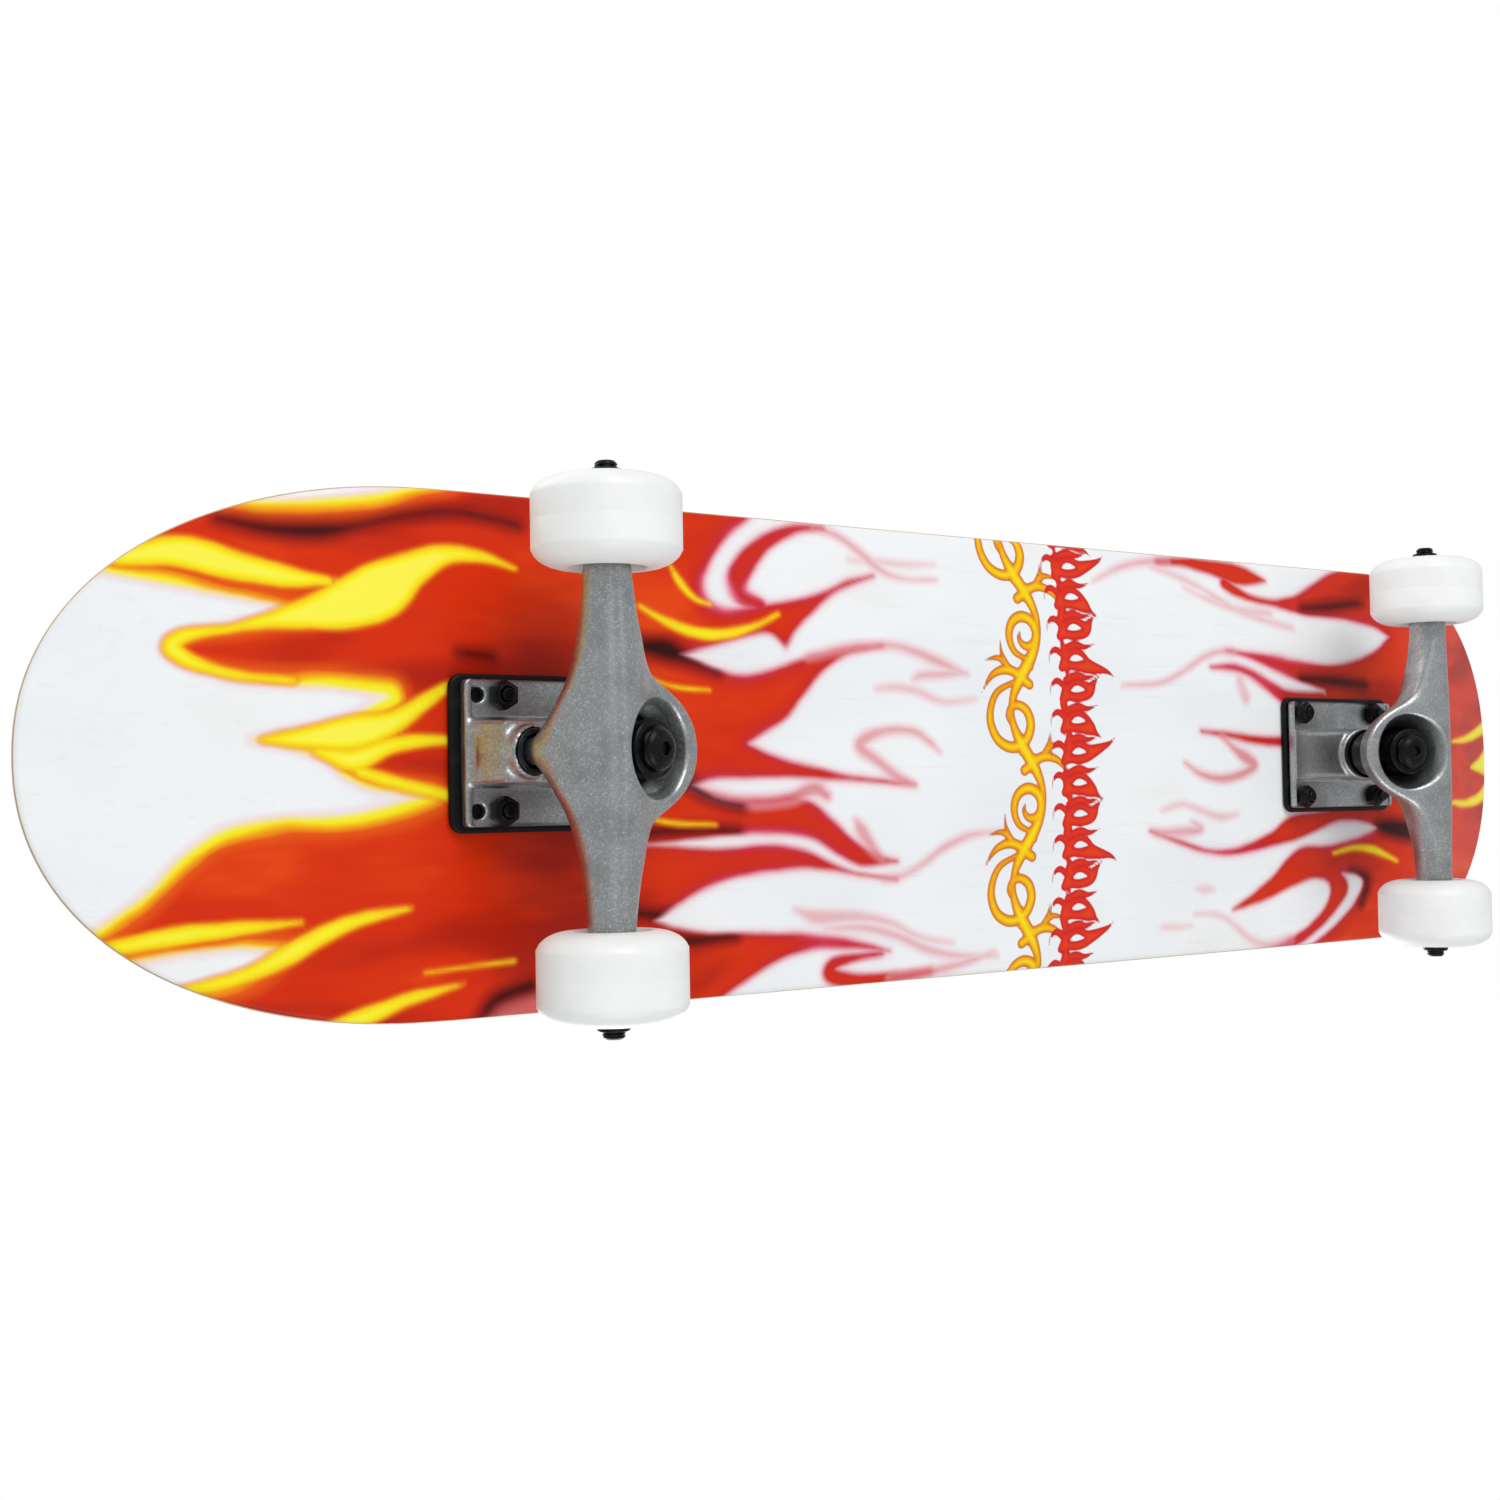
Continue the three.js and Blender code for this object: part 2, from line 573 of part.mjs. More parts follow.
/** A lock nut whose collar points outward, along +Y, measured from the wheel's centre. */
function axleNutGeometry() {
  const low = 12.9;
  return lockNut(12.7, AXLE_RADIUS + GAP, low, low + 3.9, low + 5.5, 5.9);
}

function wheelGeometry() {
  const half = WHEEL_WIDTH / 2;
  const corner = 1 / Math.cos(Math.PI / WHEEL_SIDES);     // so that the tread's flats are at the radius
  const tread = WHEEL_RADIUS * corner;
  const side = [];
  for (let i = 0; i <= 3; i += 1) {
    const angle = lerp(0, Math.PI / 2, i / 3);
    side.push([
      tread - SHOULDER_DEPTH * (1 - Math.cos(angle)),
      half - SHOULDER_WIDTH * (1 - Math.sin(angle)),
    ]);
  }
  side.push([13.6, half], [11, half - 3.2], [11, SPACER_HALF - 0.1], [9, SPACER_HALF - 0.1]);
  const lower = [...side].reverse().map(([radius, height]) => [radius, -height]);
  const profile = [...lower, ...side];
  const geometry = turnedRing(profile, WHEEL_SIDES);
  return geometry.rotateY(Math.PI / WHEEL_SIDES);
}

function bearingGeometry() {
  const low = SPACER_HALF;
  const high = SPACER_HALF + BEARING_WIDTH;
  return turnedRing([[6.6, low], [BEARING_RADIUS, low], [BEARING_RADIUS, high], [6.6, high]], 16);
}

/** The two inner races and the spacer between them, clamped on the axle as one sleeve. */
function sleeveGeometry() {
  const bore = AXLE_RADIUS + GAP;
  const end = SPACER_HALF + BEARING_WIDTH - 0.1;
  return turnedRing([[bore, -end], [6, -end], [6, -SPACER_HALF], [5.2, -SPACER_HALF],
    [5.2, SPACER_HALF], [6, SPACER_HALF], [6, end], [bore, end]], 12);
}

// ---------------------------------------------------------------------------------------------
// Truck bolts and nuts
// ---------------------------------------------------------------------------------------------

function boltGeometry() {
  const top = DECK_TOP - 0.2;
  const end = CHANNEL_FLOOR - 6.5;
  return turned([[0, end], [BOLT_RADIUS, end], [BOLT_RADIUS, top - BOLT_HEAD_DEPTH],
    [BOLT_HEAD_RADIUS, top], [0, top]], 12).rotateX(Math.PI / 2);
}

function boltNutGeometry() {
  const top = CHANNEL_FLOOR - GAP;
  const nut = lockNut(9.5, BOLT_RADIUS + GAP, -top, 3.6 - top, 5 - top, 4.2);
  return nut.rotateY(Math.PI / 6).rotateX(-Math.PI / 2);
}

// ---------------------------------------------------------------------------------------------
// Materials and assembly
// ---------------------------------------------------------------------------------------------

const finish = (color, roughness, metalness = 0) => (
  () => new THREE.MeshStandardMaterial({ color, roughness, metalness }));
const printedMaple = finish(0xe03418, 0.25);
const grit = finish(0x17181a, 0.95);
const blackRubber = finish(0x141414, 0.7);
const castAluminium = finish(0x9a9c9c, 0.5, 0.9);
const blackSteel = finish(0x1c1c1e, 0.4, 0.7);
const blackUrethane = finish(0x101012, 0.45);
const whiteUrethane = finish(0xf0efeb, 0.4);
const brightSteel = finish(0xb8babc, 0.25, 1);

/** A geometry is worked out once and shared by every copy of the piece. */
const shapes = {
  riser: riserGeometry(),
  baseplate: baseplateGeometry(),
  pivotCup: pivotCupGeometry(),
  kingpin: kingpinGeometry(),
  kingpinNut: kingpinNutGeometry(),
  deckWasher: washerGeometry(DECK_WASHER, 12, false),
  roadWasher: washerGeometry(ROAD_WASHER, 10.8, true),
  deckBushing: deckBushingGeometry(),
  roadBushing: roadBushingGeometry(),
  hanger: hangerGeometry(),
  axle: axleGeometry(),
  axleNut: axleNutGeometry(),
  wheel: wheelGeometry(),
  bearing: bearingGeometry(),
  sleeve: sleeveGeometry(),
  bolt: boltGeometry(),
  boltNut: boltNutGeometry(),
};

function piece(parent, name, geometry, material, position = [0, 0, 0]) {
  const mesh = new THREE.Mesh(geometry, material());
  mesh.name = name;
  mesh.position.set(...position);
  parent.add(mesh);
  return mesh;
}

/** One wheel with its bearings, sleeve and nut; the wheel's outer side faces +Y. */
function wheelSet(name, side) {
  const set = new THREE.Group();
  piece(set, `${name}_wheel`, shapes.wheel, whiteUrethane);
  piece(set, `${name}_outer_bearing`, shapes.bearing, brightSteel);
  piece(set, `${name}_inner_bearing`, shapes.bearing, brightSteel).rotation.z = Math.PI;
  piece(set, `${name}_bearing_sleeve`, shapes.sleeve, brightSteel);
  piece(set, `${name}_axle_nut`, shapes.axleNut, blackSteel);
  set.position.set(AXLE_OFFSET, side * WHEEL_CENTRE_Y, WHEEL_RADIUS);
  set.rotation.z = side > 0 ? 0 : Math.PI;
  return set;
}

function truck(end) {
  const group = new THREE.Group();
  const front = end > 0;
  const prefix = front ? 'front' : 'rear';
  const sideName = (side) => ((side > 0) === front ? 'left' : 'right');
  const named = (what, shape, material) => piece(group, `${prefix}_${what}`, shape, material);

  named('riser_pad', shapes.riser, blackRubber);
  named('baseplate', shapes.baseplate, castAluminium);
  named('pivot_cup', shapes.pivotCup, blackUrethane);
  named('kingpin', shapes.kingpin, blackSteel);
  named('kingpin_nut', shapes.kingpinNut, blackSteel);
  named('deck_side_washer', shapes.deckWasher, blackSteel);
  named('road_side_washer', shapes.roadWasher, blackSteel);
  named('deck_side_bushing', shapes.deckBushing, blackUrethane);
  named('road_side_bushing', shapes.roadBushing, blackUrethane);
  named('hanger', shapes.hanger, castAluminium);
  piece(group, `${prefix}_axle`, shapes.axle, blackSteel, [AXLE_OFFSET, 0, WHEEL_RADIUS]);
  for (const side of [1, -1]) {
    group.add(wheelSet(`${prefix}_${sideName(side)}`, side));
    for (const [row, along] of [['end', 1], ['middle', -1]]) {
      const place = [along * BOLT_HALF_X, side * BOLT_HALF_Y, 0];
      const name = `${prefix}_${row}_${sideName(side)}`;
      piece(group, `${name}_bolt`, shapes.bolt, blackSteel, place);
      piece(group, `${name}_bolt_nut`, shapes.boltNut, blackSteel, place);
    }
  }
  group.position.x = end * TRUCK_X;
  group.rotation.z = front ? 0 : Math.PI;
  return group;
}

const skateboard = new THREE.Group();
piece(skateboard, 'deck', deckGeometry(), printedMaple);
piece(skateboard, 'griptape', griptapeGeometry(), grit);
skateboard.add(truck(1), truck(-1));

export default skateboard;
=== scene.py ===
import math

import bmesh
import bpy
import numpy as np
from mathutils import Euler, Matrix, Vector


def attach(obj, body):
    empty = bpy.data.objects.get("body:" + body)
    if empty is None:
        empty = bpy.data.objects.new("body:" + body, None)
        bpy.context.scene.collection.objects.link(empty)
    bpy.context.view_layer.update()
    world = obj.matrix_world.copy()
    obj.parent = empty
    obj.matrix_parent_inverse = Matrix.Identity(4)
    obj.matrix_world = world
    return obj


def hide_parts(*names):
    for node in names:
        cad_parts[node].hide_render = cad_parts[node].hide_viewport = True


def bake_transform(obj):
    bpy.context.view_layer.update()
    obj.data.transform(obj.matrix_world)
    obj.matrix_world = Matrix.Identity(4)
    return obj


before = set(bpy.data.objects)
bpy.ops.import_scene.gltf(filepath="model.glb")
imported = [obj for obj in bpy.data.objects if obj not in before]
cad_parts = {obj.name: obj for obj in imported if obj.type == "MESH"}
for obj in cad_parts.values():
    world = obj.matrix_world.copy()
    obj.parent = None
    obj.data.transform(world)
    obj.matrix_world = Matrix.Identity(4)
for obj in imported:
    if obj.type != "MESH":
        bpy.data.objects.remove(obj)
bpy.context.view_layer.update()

# A double-kick skateboard whose white underside is printed with airbrushed flames.
#
# Every shape is worked out in millimetres, in the CAD's frame: +X to the nose, +Y to the left side,
# +Z up, the ground at z = 0. A truck's pieces are described in a frame of their own, with x running
# outward from the centre of the bolt pattern; the rear truck is the same truck turned half round.

MM = 0.001

# ---- Dimensions, the same as the CAD's ----

DECK_HALF_LENGTH = 400.0
DECK_HALF_WIDTH = 95.5
DECK_THICKNESS = 11.0
DECK_EDGE_ROUND = 2.5
DECK_UNDERSIDE = 79.6
DECK_TOP = DECK_UNDERSIDE + DECK_THICKNESS
DECK_STRAIGHT_HALF = 249.5
DECK_END_POWER = 2 / 2.59
DECK_SIDE_POWER = 2 / 2.15
CONCAVE_RISE = 5.8
FLAT_HALF_WIDTH = 30.0
KICK_START = 269.0
KICK_RADIUS = 155.0
NOSE_KICK = math.radians(19.5)
TAIL_KICK = math.radians(17.0)
GRIP_BOTTOM = 11.05
GRIP_TOP = 12.0

WHEEL_RADIUS = 26.0
WHEEL_HALF_WIDTH = 15.8
WHEEL_CENTRE_Y = 77.5
SHOULDER_DEPTH = 11.6
SHOULDER_WIDTH = 7.4
TRUCK_X = 217.5
AXLE_OFFSET = 9.9
AXLE_RADIUS = 4.0
AXLE_HALF_LENGTH = 98.6
HANGER_HALF_LENGTH = 64.5

BOLT_HALF_X = 27.0
BOLT_HALF_Y = 20.65
BOLT_RADIUS = 2.35
BOLT_HEAD_RADIUS = 4.6
SPARE_HOLE_X = 36.5
HOLE_RADIUS = 2.75
RISER_BOTTOM = 76.6
RISER_TOP = 79.3
PLATE_BOTTOM = 71.9
PLATE_TOP = 76.3
PLATE_INNER_X = -33.4
PLATE_OUTER_X = 41.6
PLATE_HALF_WIDTH = 26.2
CHANNEL_FLOOR = 72.9

SIDE = np.array([0.0, 1.0, 0.0])
KINGPIN_END = np.array([-8.4, 0.0, 22.0])
KINGPIN_UP = np.array([math.sin(math.radians(18)), 0.0, math.cos(math.radians(18))])
PIVOT_MOUTH = np.array([24.8, 0.0, 52.0])
PIVOT_IN = np.array([math.sin(math.radians(15)), 0.0, math.cos(math.radians(15))])
PIVOT_BALL_DEPTH = 5.5
PIVOT_BALL_RADIUS = 5.5

# Heights up the kingpin from its lower end
KINGPIN_NUT_LOW = -2.2
ROAD_WASHER = (2.7, 4.2)
ROAD_BUSHING = (4.5, 19.6)
HANGER_WEB = (19.9, 24.1)
DECK_BUSHING = (24.4, 36.4)
DECK_WASHER = (36.7, 38.5)
PLATE_SEAT = 38.8
KINGPIN_HEAD = (48.3, 53.6)
COLLAR_TOP = 24.4

# ---- Camera ----

CAMERA_PLACE = (0.542588, -0.019598, -0.524756)
CAMERA_TURN_DEG = (-177.5501, 35.5566, -178.7821)
CAMERA_LENS = 44.46
CAMERA_SHIFT = (-0.0322, -0.0022)

camera_data = bpy.data.cameras.new("camera")
camera = bpy.data.objects.new("camera", camera_data)
bpy.context.scene.collection.objects.link(camera)
camera.location = CAMERA_PLACE
camera.rotation_euler = Euler([math.radians(angle) for angle in CAMERA_TURN_DEG])
camera_data.sensor_width = 36
camera_data.lens = CAMERA_LENS
camera_data.shift_x, camera_data.shift_y = CAMERA_SHIFT
camera_data.clip_start = 0.01
camera_data.clip_end = 50
bpy.context.scene.camera = camera

# ---- Small numeric helpers ----


def smoothstep(value, low, high):
    share = np.clip((value - low) / (high - low), 0, 1)
    return share * share * (3 - 2 * share)


def mix(a, b, share):
    return a + (b - a) * share


def blended(a, b, size):
    """The union of two distances, with a fillet of about the given size."""
    near = np.maximum(size - np.abs(a - b), 0) / size
    return np.minimum(a, b) - near * near * size * 0.25


def trimmed(a, b, size):
    """What lies inside both distances, with the shared edge rounded."""
    return -blended(-a, -b, size)


def from_segment(x, y, start, end):
    """How far along a segment its nearest point lies, as a share, and the distance to it."""
    (ax, ay), (bx, by) = start, end
    dx, dy = bx - ax, by - ay
    share = np.clip(((x - ax) * dx + (y - ay) * dy) / max(dx * dx + dy * dy, 1e-9), 0, 1)
    return share, np.hypot(x - ax - share * dx, y - ay - share * dy)


def left_of_segment(x, y, start, end):
    """Whether a line to the right from each point crosses a segment."""
    (ax, ay), (bx, by) = start, end
    if ay == by:
        return np.zeros(np.shape(x), bool)
    return ((ay > y) != (by > y)) & (x < ax + (y - ay) * (bx - ax) / (by - ay))


def smooth_path(points, steps):
    """Points on a smooth curve through the given points."""
    points = np.array(points, float)
    if len(points) == 2:
        share = np.linspace(0, 1, steps + 1)[:, None]
        return mix(points[0], points[1], share)
    padded = np.vstack([2 * points[0] - points[1], points, 2 * points[-1] - points[-2]])
    spans = []
    for before, start, end, after in zip(padded, padded[1:], padded[2:], padded[3:]):
        t = (np.arange(steps) / steps)[:, None]
        cubic = -before + 3 * start - 3 * end + after
        square = 2 * before - 5 * start + 4 * end - after
        spans.append(start + 0.5 * t * (end - before + t * (square + t * cubic)))
    return np.vstack([*spans, points[-1:]])


def soften(profile, radius, steps=3):
    """Rounds the inner corners of an open outline."""
    points = [np.array(point, float) for point in profile]
    out = [points[0]]
    for before, corner, after in zip(points, points[1:], points[2:]):
        back = before - corner
        ahead = after - corner
        back_length = np.linalg.norm(back)
        ahead_length = np.linalg.norm(ahead)
        reach = min(radius, 0.45 * back_length, 0.45 * ahead_length)
        start = corner + back / back_length * reach
        end = corner + ahead / ahead_length * reach
        for share in np.linspace(0, 1, steps + 1):
            out.append(mix(mix(start, corner, share), mix(corner, end, share), share))
    out.append(points[-1])
    return out


# ---- Meshes ----


def set_values(mesh, name, values):
    attribute = mesh.attributes.new(name, "FLOAT", "POINT")
    attribute.data.foreach_set("value", np.asarray(values, np.float32))


def shade(mesh, sharp_deg):
    """Smooth shading, but for edges sharper than an angle."""
    mesh.shade_smooth()
    mesh.set_sharp_from_angle(angle=math.radians(sharp_deg))


def build_mesh(name, points, faces, sharp_deg=40, **values):
    """A mesh from points in millimetres, each with the given values, and with doubled points joined."""
    mesh = bpy.data.meshes.new(name)
    mesh.from_pydata((np.asarray(points) * MM).tolist(), [], [list(face) for face in faces])
    for layer, numbers in values.items():
        set_values(mesh, layer, numbers)
    shape = bmesh.new()
    shape.from_mesh(mesh)
    bmesh.ops.remove_doubles(shape, verts=shape.verts, dist=2e-6)
    bmesh.ops.recalc_face_normals(shape, faces=shape.faces)
    shape.to_mesh(mesh)
    shape.free()
    shade(mesh, sharp_deg)
    return mesh


def sheet_faces(rows, columns, wrap_rows, wrap_columns):
    """Quads over a grid of points, each way either open or joined round."""
    i, j = np.meshgrid(
        np.arange(rows if wrap_rows else rows - 1),
        np.arange(columns if wrap_columns else columns - 1),
        indexing="ij",
    )
    i, j = i.ravel(), j.ravel()
    next_i, next_j = (i + 1) % rows, (j + 1) % columns
    corners = [i * columns + j, next_i * columns + j, next_i * columns + next_j, i * columns + next_j]
    return np.stack(corners, 1)


def spin(profile, segments=64, closed=False, flats=None, thread=None):
    """A solid turned about its third axis from (radius, height) pairs.

    flats is a hexagon's width across flats, which trims the turned shape. thread is (low, high,
    pitch, depth) of a screw thread cut into it."""
    profile = np.array(profile, float)
    angles = np.arange(segments) / segments * math.tau
    radius = np.repeat(profile[None, :, 0], segments, 0)
    height = np.repeat(profile[None, :, 1], segments, 0)
    if flats:
        to_flat = (angles + math.pi / 6) % (math.pi / 3) - math.pi / 6
        radius = np.minimum(radius, (flats / 2 / np.cos(to_flat))[:, None])
    if thread:
        low, high, pitch, depth = thread
        turn = height / pitch - angles[:, None] / math.tau
        fade = smoothstep(height, low, low + pitch) * (1 - smoothstep(height, high - pitch, high))
        radius = radius - depth * fade * np.abs((turn % 1) * 2 - 1) * (radius > 0)
    points = np.stack([
        radius * np.cos(angles)[:, None],
        radius * np.sin(angles)[:, None],
        height,
    ], -1)
    return points.reshape(-1, 3), sheet_faces(segments, len(profile), True, closed)


def placed(shape, origin, direction):
    """A turned shape with its third axis along a direction, from an origin."""
    points, faces = shape
    direction = np.array(direction, float)
    if abs(direction[1]) > 0.9:
        first = np.array([1.0, 0, 0])
    else:
        first = np.cross(SIDE, direction)
    second = np.cross(direction, first)
    return np.array(origin) + points @ np.stack([first, second, direction]), faces


def net(distance, low, high, step):
    """The surface where a distance is zero, as a fine even mesh of quads."""
    axes = [np.arange(a, b + step, step) for a, b in zip(low, high)]
    value = distance(np.stack(np.meshgrid(*axes, indexing="ij"), -1))
    inside = value < 0
    size = np.array(value.shape) - 1

    def corner(array, offset):
        return array[tuple(slice(o, o + n) for o, n in zip(offset, size))]

    total = np.zeros((*size, 3))
    count = np.zeros(size)
    for axis in range(3):
        others = [a for a in range(3) if a != axis]
        for first in (0, 1):
            for second in (0, 1):
                start = [0, 0, 0]
                start[others[0]], start[others[1]] = first, second
                end = list(start)
                end[axis] = 1
                crossed = corner(inside, start) != corner(inside, end)
                from_value, to_value = corner(value, start), corner(value, end)
                gap = np.where(crossed, from_value - to_value, 1)
                for a in range(3):
                    share = from_value / gap if a == axis else start[a]
                    total[..., a] += crossed * share
                count += crossed
    cells = count > 0
    index = np.full(size, -1)
    index[cells] = np.arange(cells.sum())
    where = np.argwhere(cells)
    points = np.array(low) + step * (where + total[cells] / count[cells][:, None])

    faces = []
    for axis in range(3):
        others = [a for a in range(3) if a != axis]
        head = [slice(1, -1)] * 3
        head[axis] = slice(0, -1)
        tail = list(head)
        tail[axis] = slice(1, None)
        before, after = inside[tuple(head)], inside[tuple(tail)]
        edges = np.argwhere(before != after)
        flip = before[before != after] == (axis == 1)
        base = edges.copy()
        base[:, others[0]] += 1
        base[:, others[1]] += 1
        ring = []
        for first, second in ((1, 1), (0, 1), (0, 0), (1, 0)):
            cell = base.copy()
            cell[:, others[0]] -= first
            cell[:, others[1]] -= second
            ring.append(index[tuple(cell.T)])
        quads = np.stack(ring, 1)
        faces.append(np.where(flip[:, None], quads[:, ::-1], quads))
    faces = np.vstack(faces)

    reach = step * 0.25
    for _ in range(3):
        slope = np.stack([
            distance(points + nudge) - distance(points - nudge) for nudge in np.eye(3) * reach
        ], -1) / (2 * reach)
        steep = np.maximum((slope**2).sum(-1), 0.1)
        move = distance(points) / steep
        points = points - np.clip(move, -step, step)[:, None] * slope * 0.8
    return points, faces


def cut_away(mesh, tools):
    """The mesh with the tools' solids taken out of it."""
    body = bpy.data.objects.new("cut_body", mesh)
    bpy.context.scene.collection.objects.link(body)
    made = []
    for tool in tools:
        cutter = bpy.data.objects.new("cutter", build_mesh("cutter", *tool))
        bpy.context.scene.collection.objects.link(cutter)
        made.append(cutter)
        modifier = body.modifiers.new("cut", "BOOLEAN")
        modifier.operation = "DIFFERENCE"
        modifier.solver = "EXACT"
        modifier.object = cutter
    graph = bpy.context.evaluated_depsgraph_get()
    result = bpy.data.meshes.new_from_object(body.evaluated_get(graph), depsgraph=graph)
    for extra in [body, *made]:
        bpy.data.objects.remove(extra)
    return result


def join_shapes(*shapes):
    points, faces, start = [], [], 0
    for more_points, more_faces in shapes:
        points.append(more_points)
        faces.extend([[start + i for i in face] for face in np.asarray(more_faces).tolist()])
        start += len(more_points)
    return np.vstack(points), faces


# ---- Node materials ----


def linear(hex_colour):
    """A colour written as six hex digits, in linear light."""
    channels = [int(hex_colour[i:i + 2], 16) / 255 for i in (0, 2, 4)]
    return [c / 12.92 if c <= 0.04045 else ((c + 0.055) / 1.055) ** 2.4 for c in channels] + [1]


class Look:
    """A material and short ways to add nodes to it."""

    def __init__(self, name, **sockets):
        self.material = bpy.data.materials.new(name)
        self.material.use_nodes = True
        self.tree = self.material.node_tree
        self.shader = self.tree.nodes["Principled BSDF"]
        for socket, value in sockets.items():
            self.shader.inputs[socket.replace("_", " ")].default_value = value

    def node(self, kind, **inputs):
        made = self.tree.nodes.new("ShaderNode" + kind)
        for key, value in inputs.items():
            self.feed(made.inputs[key.replace("_", " ")], value)
        return made

    def feed(self, socket, value):
        if isinstance(value, bpy.types.NodeSocket):
            self.tree.links.new(value, socket)
        else:
            socket.default_value = value

    def math(self, operation, first, second=0.0):
        made = self.tree.nodes.new("ShaderNodeMath")
        made.operation = operation
        self.feed(made.inputs[0], first)
        self.feed(made.inputs[1], second)
        return made.outputs[0]

    def times(self, first, second):
        return self.math("MULTIPLY", first, second)

    def spread(self, value, low, high, to_low=0.0, to_high=1.0, kind="SMOOTHSTEP"):
        made = self.tree.nodes.new("ShaderNodeMapRange")
        made.interpolation_type = kind
        for socket, given in zip(made.inputs, (value, low, high, to_low, to_high)):
            self.feed(socket, given)
        return made.outputs[0]

    def place(self, stretch=(1, 1, 1)):
        """Places on the piece, in metres, stretched so that the noise has a direction."""
        coordinates = self.tree.nodes.new("ShaderNodeTexCoord")
        mapping = self.tree.nodes.new("ShaderNodeMapping")
        mapping.inputs["Scale"].default_value = stretch
        self.tree.links.new(coordinates.outputs["Object"], mapping.inputs["Vector"])
        return mapping.outputs[0]

    def noise(self, size_mm, stretch=(1, 1, 1), detail=4.0, roughness=0.55):
        made = self.node("TexNoise", Vector=self.place(stretch), Scale=1 / (size_mm * MM))
        made.inputs["Detail"].default_value = detail
        made.inputs["Roughness"].default_value = roughness
        return made.outputs["Fac"]

    def grains(self, size_mm, stretch=(1, 1, 1)):
        """Cells of about a size, each with a value of its own."""
        made = self.node("TexVoronoi", Vector=self.place(stretch), Scale=1 / (size_mm * MM))
        apart = self.tree.nodes.new("ShaderNodeSeparateColor")
        self.tree.links.new(made.outputs["Color"], apart.inputs[0])
        return apart.outputs[0], made.outputs["Distance"]

    def attribute(self, name):
        made = self.tree.nodes.new("ShaderNodeAttribute")
        made.attribute_name = name
        return made.outputs["Fac"]

    def ramp(self, value, stops):
        """Colours by value; stops are (place, hex colour)."""
        made = self.tree.nodes.new("ShaderNodeValToRGB")
        while len(made.color_ramp.elements) < len(stops):
            made.color_ramp.elements.new(0.5)
        for element, (place, colour) in zip(made.color_ramp.elements, stops):
            element.position = place
            element.color = linear(colour)
        self.feed(made.inputs[0], value)
        return made.outputs[0]

    def over(self, under, upper, share, how="MIX"):
        """The upper colour laid over the under colour by a share."""
        made = self.tree.nodes.new("ShaderNodeMix")
        made.data_type = "RGBA"
        made.blend_type = how
        self.feed(made.inputs["Factor"], share)
        self.feed(made.inputs[6], linear(under) if isinstance(under, str) else under)
        self.feed(made.inputs[7], linear(upper) if isinstance(upper, str) else upper)
        return made.outputs[2]

    def bump(self, height, depth_mm, strength=1.0, under=None):
        made = self.node("Bump", Height=height, Distance=depth_mm * MM, Strength=strength)
        if under is not None:
            self.tree.links.new(under, made.inputs["Normal"])
        return made.outputs[0]

    def finish(self, colour, roughness=None, normal=None):
        for name, value in (("Base Color", colour), ("Roughness", roughness), ("Normal", normal)):
            if value is not None:
                self.feed(self.shader.inputs[name], value)
        return self.material


